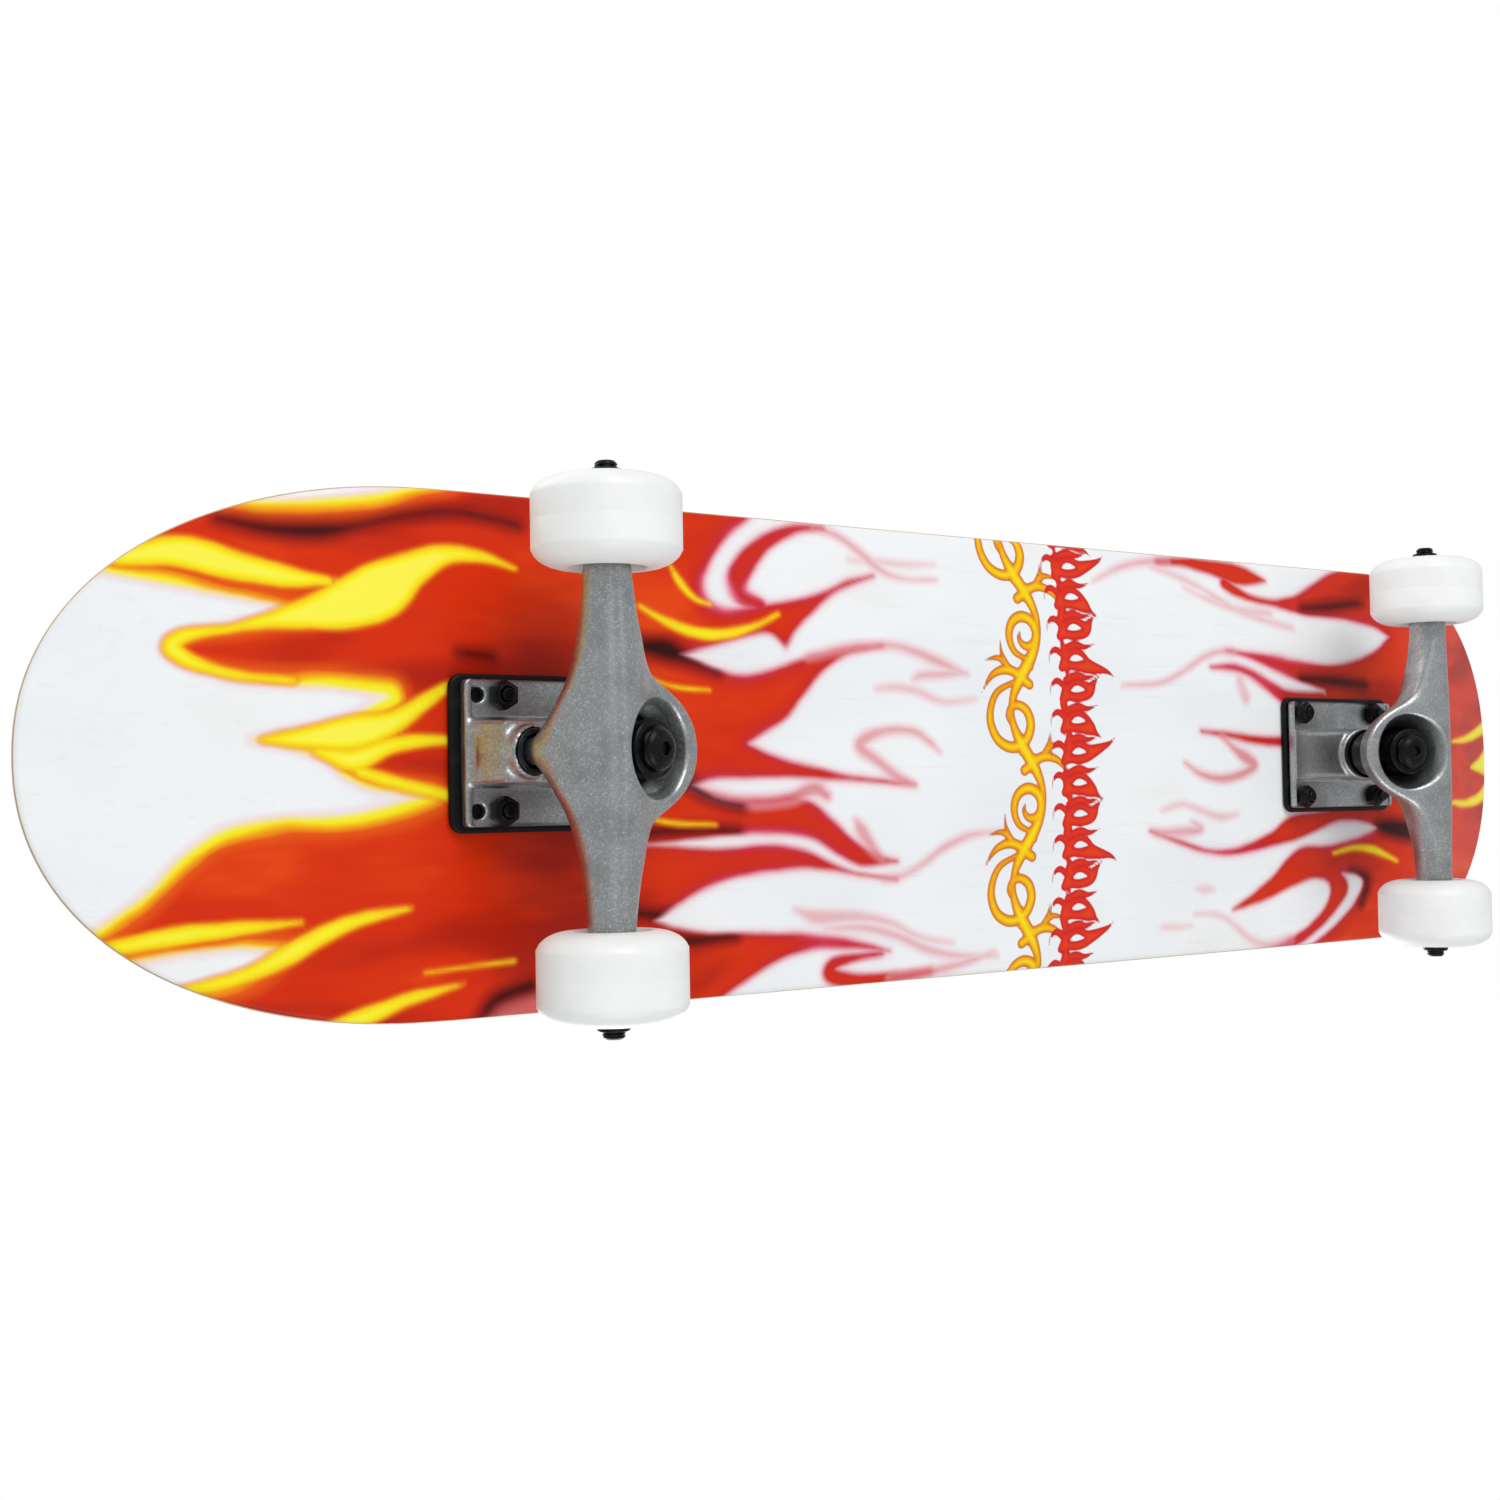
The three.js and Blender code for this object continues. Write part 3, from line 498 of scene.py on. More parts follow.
def print_look():
    """White base with airbrushed flames, under gloss lacquer."""
    look = Look("flame_print", Specular_IOR_Level=0.12, Coat_Weight=0.05, Coat_Roughness=0.15)
    grain = look.noise(2.2, (0.05, 1, 1), 6)
    broad = look.noise(60, (0.6, 1, 1), 2)
    spray = look.noise(9, (0.5, 1, 1), 3)
    waver = look.times(look.math("SUBTRACT", spray, 0.5), 1.6)

    def layer(name):
        return look.math("ADD", look.attribute(name), waver)

    base = look.ramp(broad, [(0.25, "E9EAEC"), (0.55, "F0F1F1"), (0.8, "ECEAE8")])

    # The body of the fire: yellow rims at the nose, crimson rims elsewhere
    fire = layer("fire")
    drift = look.times(look.math("SUBTRACT", look.noise(42, (0.4, 1, 1), 2), 0.45), 16)
    depth = look.spread(look.math("ADD", fire, drift), -2.6, 12, kind="LINEAR")
    glowing = look.ramp(depth, [
        (0.0, "F6F3B4"), (0.1, "F4EE3A"), (0.26, "F7E41A"), (0.38, "F2A512"), (0.52, "E6560F"),
        (0.8, "D93306"), (1.0, "D62E05"),
    ])
    crimson = look.ramp(depth, [
        (0.0, "E7899B"), (0.12, "D8526A"), (0.23, "C82E3C"), (0.34, "CA2820"), (0.5, "D22C10"),
        (0.8, "DA3206"),
    ])
    red = look.over(crimson, glowing, look.attribute("glow"))
    deep = look.noise(38, (0.3, 1, 1), 3)
    shade = look.times(look.spread(deep, 0.44, 0.64), look.spread(fire, 3, 12))
    red = look.over(red, "A81A08", look.times(shade, 0.85))
    bright = look.times(look.spread(deep, 0.44, 0.3), look.spread(fire, 5, 11))
    red = look.over(red, "F0500E", look.times(bright, 0.6))
    colour = look.over(base, "EDA9B4", look.times(look.spread(fire, -4.6, 0.5), 0.5))
    colour = look.over(colour, red, look.spread(fire, -2.4, 1.3))

    # Soft crimson strokes fading to pink
    veil = layer("veil")
    strength = look.attribute("veil_strength")
    stroke = look.over("E9A0A8", "CE2C3C", look.times(strength, look.spread(veil, -1, 2.5)))
    faded = look.spread(strength, 0, 1, 0.25, 1, "LINEAR")
    share = look.times(look.spread(veil, -3.2, 1.8), faded)
    colour = look.over(colour, stroke, share)

    # Dark streaks and yellow licks inside the fire
    dark = look.attribute("dark")
    inside = look.spread(fire, -2, 1.5)
    for shadow, low, high, strongest in (("7A0E0C", -6, 0, 0.8), ("200406", -2, 2.2, 0.92)):
        cover = look.times(look.spread(dark, low, high), inside)
        colour = look.over(colour, shadow, look.times(cover, strongest))
    lick = layer("lick")
    yellow = look.ramp(look.spread(lick, -2.6, 3, kind="LINEAR"), [
        (0.0, "E6560F"), (0.28, "EE8A10"), (0.5, "F5C814"), (0.75, "F8E81C"), (1.0, "FAF04A"),
    ])
    colour = look.over(colour, yellow, look.spread(lick, -2.6, 0.6))

    # The vine and the column of licks across the middle
    vine = look.attribute("vine")
    golden = look.ramp(look.spread(vine, -0.2, 2.4, kind="LINEAR"), [
        (0.0, "9A4408"), (0.25, "DE760C"), (0.55, "F0A80E"), (1.0, "F7D816"),
    ])
    colour = look.over(colour, golden, look.spread(vine, -0.4, 0.3))
    blaze = look.attribute("blaze")
    scarlet = look.ramp(look.spread(blaze, -0.2, 2.4, kind="LINEAR"), [
        (0.0, "B4162E"), (0.4, "D8281A"), (1.0, "E4401A"),
    ])
    colour = look.over(colour, scarlet, look.spread(blaze, -0.35, 0.35))

    colour = look.over(colour, "9A8A80", look.times(look.spread(grain, 0.55, 0.8), 0.1), "MULTIPLY")
    roughness = look.spread(look.noise(9, (0.3, 1, 1), 3), 0.3, 0.7, 0.24, 0.36)
    return look.finish(colour, roughness, look.bump(grain, 0.05, 0.5))


def ply_edge_look():
    """The cut edge of seven plies, sanded and clear-coated."""
    look = Look("ply_edge", Coat_Weight=0.15, Coat_Roughness=0.3)
    plies = 7
    depth = look.times(look.attribute("ply"), plies)
    across = look.math("FRACT", depth)
    which = look.tree.nodes.new("ShaderNodeTexWhiteNoise")
    which.noise_dimensions = "1D"
    look.feed(which.inputs["W"], look.math("FLOOR", depth))
    grain = look.noise(0.9, (0.25, 0.25, 3), 4)
    tan = look.over("D9BC90", "B98F5E", which.outputs["Value"])
    tan = look.over(tan, "8F6436", look.times(look.spread(grain, 0.45, 0.75), 0.5))
    glue = look.spread(look.math("ABSOLUTE", look.math("SUBTRACT", across, 0.5)), 0.43, 0.49)
    colour = look.over(tan, "6E4A2A", look.times(glue, 0.65))
    roughness = look.spread(grain, 0.3, 0.7, 0.45, 0.65)
    return look.finish(colour, roughness, look.bump(grain, 0.08, 0.6))


def veneer_look():
    """The bare maple face under the grip tape."""
    look = Look("maple_face")
    grain = look.noise(1.4, (0.06, 1, 1), 6)
    colour = look.ramp(grain, [(0.3, "C79B66"), (0.55, "D8B280"), (0.75, "E2C296")])
    return look.finish(colour, look.spread(grain, 0.3, 0.7, 0.5, 0.65), look.bump(grain, 0.06, 0.5))


def grit_look():
    """Silicon-carbide grit on black tape, with the edge filed pale."""
    look = Look("grip_grit", Specular_IOR_Level=0.45)
    value, middle = look.grains(0.42)
    fine = look.noise(0.35, detail=3)
    dust = look.noise(48, detail=4)
    colour = look.over("0B0B0C", "2C2C2E", look.spread(value, 0.55, 1.0))
    colour = look.over(colour, "85858A", look.times(look.spread(value, 0.94, 0.99), 0.75))
    colour = look.over(colour, "3A3835", look.times(look.spread(dust, 0.55, 0.75), 0.25))
    filed = look.times(look.attribute("filed"), look.spread(fine, 0.4, 0.6))
    colour = look.over(colour, "6B6A68", filed)
    roughness = look.spread(value, 0.6, 1.0, 0.95, 0.45)
    height = look.math("ADD", look.times(middle, -1.2), fine)
    return look.finish(colour, roughness, look.bump(height, 0.3, 0.9))


def rubber_look():
    look = Look("riser_rubber", Specular_IOR_Level=0.2)
    pebble = look.noise(0.7, detail=3)
    scuff = look.noise(7, (0.4, 1, 1), 5)
    colour = look.over("060606", "1A1A1A", look.times(look.spread(scuff, 0.5, 0.75), 0.6))
    return look.finish(colour, look.spread(scuff, 0.35, 0.7, 0.42, 0.62), look.bump(pebble, 0.05, 0.6))


def cast_look():
    """Raw tumbled aluminium: coarse bright facets over a cast skin."""
    look = Look("cast_aluminium", Metallic=1.0)
    facet, _ = look.grains(0.6)
    small, _ = look.grains(0.4)
    skin = look.noise(2.6, detail=5, roughness=0.65)
    stain = look.noise(14, detail=4)
    colour = look.ramp(facet, [(0.0, "A2A4A4"), (0.6, "ACAEAE"), (0.9, "B8BABA"), (1.0, "C6C8C8")])
    colour = look.over(colour, "868888", look.times(look.spread(stain, 0.42, 0.75), 0.6))
    colour = look.over(colour, "F0F0F0", look.times(look.spread(small, 0.95, 0.985), 0.5))
    roughness = look.spread(facet, 0.0, 1.0, 0.44, 0.34)
    rough = look.bump(skin, 0.14, 0.5)
    return look.finish(colour, roughness, look.bump(facet, 0.008, 0.6, rough))


def black_steel_look():
    """Blackened steel, worn a little brighter in places."""
    look = Look("black_steel", Metallic=0.6, Specular_IOR_Level=0.35)
    wear = look.noise(1.5, detail=5, roughness=0.65)
    patch = look.noise(6, detail=3)
    colour = look.over("0A0A0B", "1B1B1D", look.spread(patch, 0.4, 0.7))
    colour = look.over(colour, "4A4A4C", look.times(look.spread(wear, 0.64, 0.8), 0.4))
    return look.finish(colour, look.spread(wear, 0.35, 0.7, 0.28, 0.46), look.bump(wear, 0.03, 0.5))


def bright_steel_look():
    look = Look("ground_steel", Metallic=1.0, Anisotropic=0.4)
    turned = look.noise(0.25, (1, 1, 1), 3)
    smudge = look.noise(3, detail=4)
    colour = look.ramp(smudge, [(0.3, "A9ABAD"), (0.7, "C9CBCC")])
    return look.finish(colour, look.spread(smudge, 0.3, 0.7, 0.2, 0.34), look.bump(turned, 0.01, 0.4))


def shield_look():
    look = Look("bearing_shield", Coat_Weight=0.2)
    speck = look.noise(0.8, detail=4)
    colour = look.over("17181A", "303236", look.spread(speck, 0.4, 0.75))
    return look.finish(colour, look.spread(speck, 0.3, 0.7, 0.35, 0.5), look.bump(speck, 0.02, 0.5))


def black_urethane_look():
    look = Look("black_urethane", Specular_IOR_Level=0.35, Coat_Weight=0.15, Coat_Roughness=0.25)
    cloud = look.noise(4, detail=4)
    fine = look.noise(0.6, detail=3)
    colour = look.over("08080A", "1C1C1F", look.spread(cloud, 0.4, 0.75))
    return look.finish(colour, look.spread(cloud, 0.3, 0.7, 0.26, 0.42), look.bump(fine, 0.02, 0.5))


def white_urethane_look():
    """Cast urethane, turned on its tread: slightly translucent, with a faint satin skin."""
    look = Look(
        "white_urethane", Subsurface_Weight=0.18, Subsurface_Scale=0.004, Specular_IOR_Level=0.4,
        Coat_Weight=0.12, Coat_Roughness=0.3,
    )
    look.shader.inputs["Subsurface Radius"].default_value = (1.0, 0.9, 0.8)
    lines = look.noise(0.35, (0.02, 1, 0.02), 2)
    cloud = look.noise(22, detail=4)
    dust = look.noise(2.4, detail=6, roughness=0.7)
    colour = look.ramp(cloud, [(0.25, "EDEDEA"), (0.6, "F3F3F1"), (0.8, "EEEDE8")])
    colour = look.over(colour, "CFCBC2", look.times(look.spread(dust, 0.62, 0.82), 0.35))
    roughness = look.spread(cloud, 0.3, 0.7, 0.36, 0.5)
    return look.finish(colour, roughness, look.bump(lines, 0.02, 0.5, look.bump(dust, 0.02, 0.4)))


LOOKS = {
    "print": print_look(),
    "ply": ply_edge_look(),
    "veneer": veneer_look(),
    "grit": grit_look(),
    "rubber": rubber_look(),
    "cast": cast_look(),
    "black_steel": black_steel_look(),
    "bright_steel": bright_steel_look(),
    "shield": shield_look(),
    "black_urethane": black_urethane_look(),
    "white_urethane": white_urethane_look(),
}


def add_piece(name, mesh, looks, replaces):
    """An object for a finished mesh, with its materials, standing for its CAD nodes."""
    piece = bpy.data.objects.new(name, mesh)
    bpy.context.scene.collection.objects.link(piece)
    mesh.materials.clear()
    for look in looks:
        mesh.materials.append(LOOKS[look])
    if replaces:
        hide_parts(*replaces)
    return piece


# ---- The deck's form ----


def deck_rise(x, y):
    """Height of the underside above its level middle."""
    kick = np.where(x > 0, NOSE_KICK, TAIL_KICK)
    beyond = np.abs(x) - KICK_START
    arc = KICK_RADIUS * np.sin(kick)
    bent = np.clip(beyond, 0, arc)
    bend = KICK_RADIUS - np.sqrt(KICK_RADIUS**2 - bent**2)
    slope = np.maximum(beyond - arc, 0) * np.tan(kick)
    from_flat = np.maximum(np.abs(y) - FLAT_HALF_WIDTH, 0) / (DECK_HALF_WIDTH - FLAT_HALF_WIDTH)
    fade = np.clip(1 - beyond / 90, 0.35, 1)
    return bend + slope + CONCAVE_RISE * from_flat**1.6 * fade


def deck_points(x, y, height):
    """Points at a height square to the deck's underside."""
    step = 0.5
    slope_x = (deck_rise(x + step, y) - deck_rise(x - step, y)) / (2 * step)
    slope_y = (deck_rise(x, y + step) - deck_rise(x, y - step)) / (2 * step)
    length = np.sqrt(1 + slope_x**2 + slope_y**2)
    return np.stack([
        x - slope_x / length * height,
        y - slope_y / length * height,
        DECK_UNDERSIDE + deck_rise(x, y) + height / length,
    ], -1)


def deck_outline(straight_step, end_steps):
    """Stations along the left edge from tail to nose: places and outward directions."""
    turn = np.linspace(math.pi / 2, 0, end_steps + 1)
    reach = DECK_HALF_LENGTH - DECK_STRAIGHT_HALF
    end = np.stack([
        DECK_STRAIGHT_HALF + reach * np.maximum(np.cos(turn), 0) ** DECK_END_POWER,
        DECK_HALF_WIDTH * np.sin(turn) ** DECK_SIDE_POWER,
    ], 1)
    count = int(2 * DECK_STRAIGHT_HALF / straight_step)
    straight = np.stack([
        np.linspace(-DECK_STRAIGHT_HALF, DECK_STRAIGHT_HALF, count + 1),
        np.full(count + 1, DECK_HALF_WIDTH),
    ], 1)
    edge = np.vstack([(end * [-1, 1])[::-1], straight[1:-1], end])
    along = np.gradient(edge, axis=0)
    outward = np.stack([-along[:, 1], along[:, 0]], 1)
    outward[0] = (-1, 0)
    outward[-1] = (1, 0)
    outward /= np.linalg.norm(outward, axis=1)[:, None]
    return edge, outward


def deck_shell(low, high, inset, rounding, straight_step, end_steps, under_columns, top_columns, rim_steps):
    """A layer that follows the deck: points, faces, and each point's height and inset from the outline."""
    edge, outward = deck_outline(straight_step, end_steps)
    lower = [
        (inset + rounding * (1 - math.sin(turn)), low + rounding * (1 - math.cos(turn)))
        for turn in np.linspace(0, math.pi / 2, rim_steps)
    ]
    side = lower + [(inset_here, low + high - up) for inset_here, up in reversed(lower)]
    flat_inset = side[0][0]

    # Each column runs from tail to nose, and has an inset, a height and its share of the width
    columns = [(flat_inset, low, share) for share in np.linspace(-1, 1, under_columns + 1)[1:-1]]
    columns += [(*place, 1) for place in side]
    columns += [(flat_inset, high, share) for share in np.linspace(1, -1, top_columns + 1)[1:-1]]
    columns += [(*place, -1) for place in reversed(side)]

    def at(inset_here, height, share):
        x = edge[:, 0] - outward[:, 0] * inset_here
        y = (edge[:, 1] - outward[:, 1] * inset_here) * share
        return deck_points(x, np.maximum(y, 0) if share > 0 else np.minimum(y, 0), np.full(len(x), height))

    points = np.stack([at(*column) for column in columns], 1)
    count = len(edge)
    faces = sheet_faces(count, len(columns), False, True)
    insets, heights, _ = zip(*columns)
    return points.reshape(-1, 3), faces, np.tile(heights, count), np.tile(insets, count)


# ---- The printed flames, drawn on the deck in millimetres ----

FAR = 14.0                            # distances are only worked out this close to a shape
PATH_STEPS = 7                        # points on each stretch of a stroke or an outline
DECK_REACH = 97.0                     # strokes across the deck run just past both its edges


class Drawing:
    """Distances from points on the deck to painted shapes, positive inside them."""

    def __init__(self, x, y):
        self.x, self.y = x, y

    def blank(self):
        return np.full(len(self.x), -FAR)

    def near(self, points, margin):
        """Which points of the deck lie in a box round the given ones."""
        (low_x, low_y), (high_x, high_y) = points.min(0) - margin, points.max(0) + margin
        return np.flatnonzero((self.x > low_x) & (self.x < high_x) & (self.y > low_y) & (self.y < high_y))

    def stroke(self, layer, points):
        """Adds a brush stroke through (x, y, half width) points."""
        path = smooth_path(points, PATH_STEPS)
        path[:, 2] = np.maximum(path[:, 2], 0)
        close = self.near(path[:, :2], FAR + path[:, 2].max())
        best = layer[close]
        for start, end in zip(path, path[1:]):
            share, reach = from_segment(self.x[close], self.y[close], start[:2], end[:2])
            best = np.maximum(best, start[2] + (end[2] - start[2]) * share - reach)
        layer[close] = best

    def region(self, runs):
        """Distance to a closed shape whose edge is a chain of smooth runs."""
        edge = np.vstack([smooth_path(run, PATH_STEPS if len(run) > 2 else 1) for run in runs])
        reach = np.full(len(self.x), FAR)
        inside = np.zeros(len(self.x), bool)
        for start, end in zip(edge, np.roll(edge, -1, 0)):
            inside ^= left_of_segment(self.x, self.y, start, end)
            close = self.near(np.array([start, end]), FAR)
            _, away = from_segment(self.x[close], self.y[close], start, end)
            reach[close] = np.minimum(reach[close], away)
        return np.where(inside, 1, -1) * reach


# The fire round the front truck: its nose side from left to right, then its middle side back
FRONT_FIRE = [
    [(118, 112), (252, 112)],
    [(252, 112), (257, 99), (270, 95), (290, 90), (310, 87), (332, 86.5), (352, 92)],
    [(352, 92), (392, 66)],
    [(392, 66), (372, 61.5), (352, 57.5), (334, 54), (320, 51), (311, 48)],
    [(311, 48), (330, 44.5), (345, 42), (353, 39), (354, 34.5), (347, 29.5), (335, 26), (318, 23.8),
     (302, 23.4), (284, 20)],
    [(284, 20), (295, 14), (308, 9.5), (319, 7), (328, 5)],
    [(328, 5), (314, 1.5), (304, -3), (298, -8), (288, -12), (268, -14.5)],
    [(268, -14.5), (284, -18.5), (302, -21.5), (320, -22.5), (338, -26), (350, -35), (362, -48),
     (386, -66)],
    [(386, -66), (386, -112), (150, -112)],
    [(150, -112), (146, -97), (130, -87), (115, -81), (100, -78.5), (82, -79.5), (62, -82)],
    [(62, -82), (76, -77.5), (100, -73), (130, -71), (155, -69.5), (168, -67), (178, -63.5)],
    [(178, -63.5), (168, -58), (155, -52), (140, -48), (122, -46), (105, -45.5), (90, -47.5), (60, -52)],
    [(60, -52), (72, -50.5), (82, -48.8), (95, -44), (108, -38.5), (125, -36), (150, -37), (184, -34.6)],
    [(184, -34), (150, -31.5), (125, -31.5), (105, -33.5), (92, -40), (78, -45.5), (60, -44.5)],
    [(60, -44.5), (70, -42), (82, -36), (93, -27), (103, -20), (115, -17), (130, -18.5), (148, -17.5),
     (161, -12)],
    [(161, -12), (150, -9.5), (130, -9), (100, -9.5), (75, -11), (50, -12.8)],
    [(50, -12.8), (70, -10.5), (85, -9), (105, -5), (122, -1), (134, 4)],
    [(134, 4), (127, 8.5), (116, 15), (107, 24), (98, 33), (85, 41), (66, 45)],
    [(66, 45), (85, 43), (105, 38.5), (122, 33.5), (137, 31), (150, 33.5), (166, 38.5)],
    [(166, 38.5), (150, 42.5), (135, 46.5), (123, 48.5), (115, 43)],
    [(115, 43), (108, 52), (98, 60), (88, 67), (68, 74.5)],
    [(68, 74.5), (82, 71.5), (95, 66), (112, 61.5), (130, 58.5), (142, 57), (150, 59.5)],
    [(150, 59.5), (152.5, 66), (149, 75), (140, 86), (128, 95), (118, 104)],
]

# The fire over the tail: its middle side from left to right, then round the tail
REAR_FIRE = [
    [(-246, 112), (-243, 98), (-228, 92), (-212, 84.5), (-198, 79), (-185, 76.4), (-172, 76)],
    [(-172, 76), (-190, 73), (-210, 70.5), (-235, 69.5), (-258, 67), (-273, 62)],
    [(-273, 62), (-258, 53), (-235, 46.5), (-215, 45.5), (-195, 47.5), (-172, 49.5), (-146, 50.5)],
    [(-146, 50.5), (-165, 46.5), (-180, 41.5), (-196, 37.5), (-218, 33)],
    [(-218, 33), (-218, -28)],
    [(-218, -28), (-190, -30.5), (-175, -38), (-160, -43), (-146, -45.6), (-128, -45), (-112, -41),
     (-90, -35.5)],
    [(-90, -35.5), (-106, -40.5), (-120, -44.5), (-136, -47.4), (-152, -47.6), (-175, -44.5),
     (-198, -40.5), (-225, -33.5), (-245, -34), (-257, -37.5)],
    [(-257, -37.5), (-240, -42.5), (-220, -45.8), (-200, -45.8), (-189, -50), (-176, -60), (-162, -68),
     (-149, -74.5)],
    [(-149, -74.5), (-170, -71), (-190, -65), (-208, -61.5), (-220, -65), (-219, -75), (-207, -85),
     (-190, -92), (-170, -98)],
    [(-170, -98), (-166, -112), (-425, -112), (-425, 112), (-246, 112)],
]

WHITE_PATCHES = [
    [[(368, -68.8), (350, -65.9), (334, -64.8), (319, -65.8)],
     [(319, -65.8), (327, -72), (337, -76.5), (350, -80)],
     [(350, -80), (378, -84)]],
    [[(-229, -60), (-240, -60), (-246.5, -65), (-241, -75), (-229, -85), (-214, -93), (-200, -100)],
     [(-200, -100), (-190, -98)],
     [(-190, -98), (-210, -89.5), (-224, -80), (-233, -71), (-233.5, -65), (-229, -60)]],
]

# Strokes that belong to the fire, as (x, y, half width)
FIRE_STROKES = [
    [(92, 93.3, 0.5), (105, 92, 1.5), (118, 87, 2.6), (129, 79, 4), (136, 70, 5), (135, 63, 4),
     (126, 59.5, 2.2)],
    [(66, -82.5, 0.8), (80, -83.5, 1.5), (91, -85.5, 2.4), (92, -90, 3), (80, -93, 2.8),
     (62, -93.3, 2.2), (40, -92, 1.2)],
    [(-179, 86.5, 0.3), (-170, 87.3, 3), (-158, 88.3, 4.6), (-142, 90.6, 3.4), (-124, 92.3, 1.8),
     (-104, 91.5, 0.8)],
    [(-149, 83.5, 2.6), (-157, 80, 2), (-168, 77, 1.2), (-182, 75.6, 1.4), (-198, 76, 3)],
    [(-215, 26, 5), (-190, 28, 3.6), (-176, 33.5, 2.8), (-163, 39.3, 2), (-150, 42.4, 1.5),
     (-134, 42, 0.3)],
    [(-200, 6, 2.4), (-182, 6.6, 1.9), (-165, 7.4, 1.6), (-147, 9.3, 1), (-126, 11.2, 0.3)],
]

VEIL_SPREAD = 1.35                    # how far the thin paint of the paler strokes ran

# Paler strokes: strength, then (x, y, half width)
VEIL_STROKES = [
    (0.55, [(96, 93.4, 0.9), (84, 90, 1.2), (73, 83.5, 1.3), (62, 76.5, 0.9), (50, 74.2, 0.5),
            (34, 74.6, 0.2)]),
    (0.4, [(80, 80.5, 0.3), (66, 80.8, 0.7), (50, 80.4, 0.7), (34, 81.5, 0.2)]),
    (0.55, [(104, 39.5, 0.8), (84, 43.8, 1.1), (62, 45.6, 1.1), (48, 43.4, 1.3), (36, 39.5, 1.5),
            (20, 34.6, 0.3)]),
    (0.55, [(22, 34.8, 0.3), (34, 34, 1.1), (46, 33.2, 1), (50, 31.6, 0.3)]),
    (0.4, [(70, 27, 0.3), (60, 28, 1), (48, 26.5, 0.9), (34, 22.5, 0.8), (16, 23.8, 0.2)]),
    (0.6, [(52, -12, 0.9), (60, -9, 1.5), (70, -2.5, 1.6), (79, 3, 2), (74, 7.5, 1.7), (62, 10.2, 1.3),
           (50, 9.6, 1.1), (42, 5.5, 0.8), (36, 0.8, 0.2)]),
    (0.7, [(160, -12.5, 0.6), (140, -18, 1.4), (118, -18, 1.6), (103, -14, 2), (96, -17, 1.4)]),
    (0.6, [(82, -26.5, 0.4), (79, -31, 2), (74, -37, 1.6), (68, -43.5, 0.5)]),
    (0.55, [(66, -51.6, 0.9), (56, -50.2, 0.9), (46, -46, 0.9), (34, -39.3, 1), (20, -34.8, 0.9),
            (2, -33.2, 0.2)]),
    (0.45, [(112, -62, 0.3), (100, -66, 2), (82, -66.5, 1.5), (64, -69.5, 1), (46, -77, 0.6),
            (28, -80.5, 0.2)]),
    (0.5, [(96, -70.5, 0.4), (76, -71.5, 1.2), (58, -76, 1.2), (40, -83, 1.2), (22, -86.5, 0.8),
           (2, -87.5, 0.3)]),
    (0.6, [(60, -93.4, 1.6), (42, -92.4, 1.5), (22, -89.8, 1), (4, -85.6, 0.3)]),
    (0.55, [(-110, 91.8, 1.2), (-94, 90.6, 1.1), (-78, 87, 0.8), (-60, 79.5, 0.2)]),
    (0.2, [(246, -95, 0.8), (236, -92, 2.2), (224, -91, 2.4)]),
    (0.4, [(-98, 88.6, 0.3), (-116, 85, 0.9), (-134, 79.5, 1), (-152, 72, 0.9), (-172, 67, 0.8),
           (-196, 63.5, 0.6)]),
    (0.35, [(-120, 80, 0.3), (-142, 73.5, 0.9), (-160, 70.5, 1.4), (-180, 70, 1.2)]),
    (0.6, [(-150, 50, 0.9), (-140, 49.6, 0.9), (-129, 46.4, 0.8), (-114, 39.2, 0.8), (-98, 33.6, 0.6),
           (-74, 32, 0.2)]),
    (0.35, [(-152, 34, 0.3), (-158, 27.5, 2), (-154, 36, 1.6)]),
    (0.7, [(-140, 9, 0.7), (-149, 2.8, 1.3), (-158, -2, 2.4), (-163, -5.2, 1.8), (-152, -9.6, 1.7),
           (-138, -11.4, 1.5), (-124, -8.8, 1), (-114, -3.6, 0.3)]),
    (0.4, [(-98, -25.8, 0.3), (-112, -23.4, 0.8), (-126, -27, 0.9), (-138, -29.8, 1),
           (-150, -28.6, 0.3)]),
    (0.55, [(-94, -36, 1), (-110, -36.2, 1.6), (-124, -35.4, 1.4), (-118, -31.5, 0.5)]),
    (0.35, [(-122, -75.5, 0.3), (-138, -76.6, 0.6), (-150, -82, 0.8), (-162, -89.5, 1.1),
            (-176, -93.4, 1.6), (-192, -92, 2)]),
    (0.3, [(-122, -63.5, 0.4), (-128, -64.2, 1.2), (-134, -64, 0.3)]),
    (0.3, [(-100, -80.6, 0.3), (-110, -81.2, 0.8), (-120, -81, 0.2)]),
]

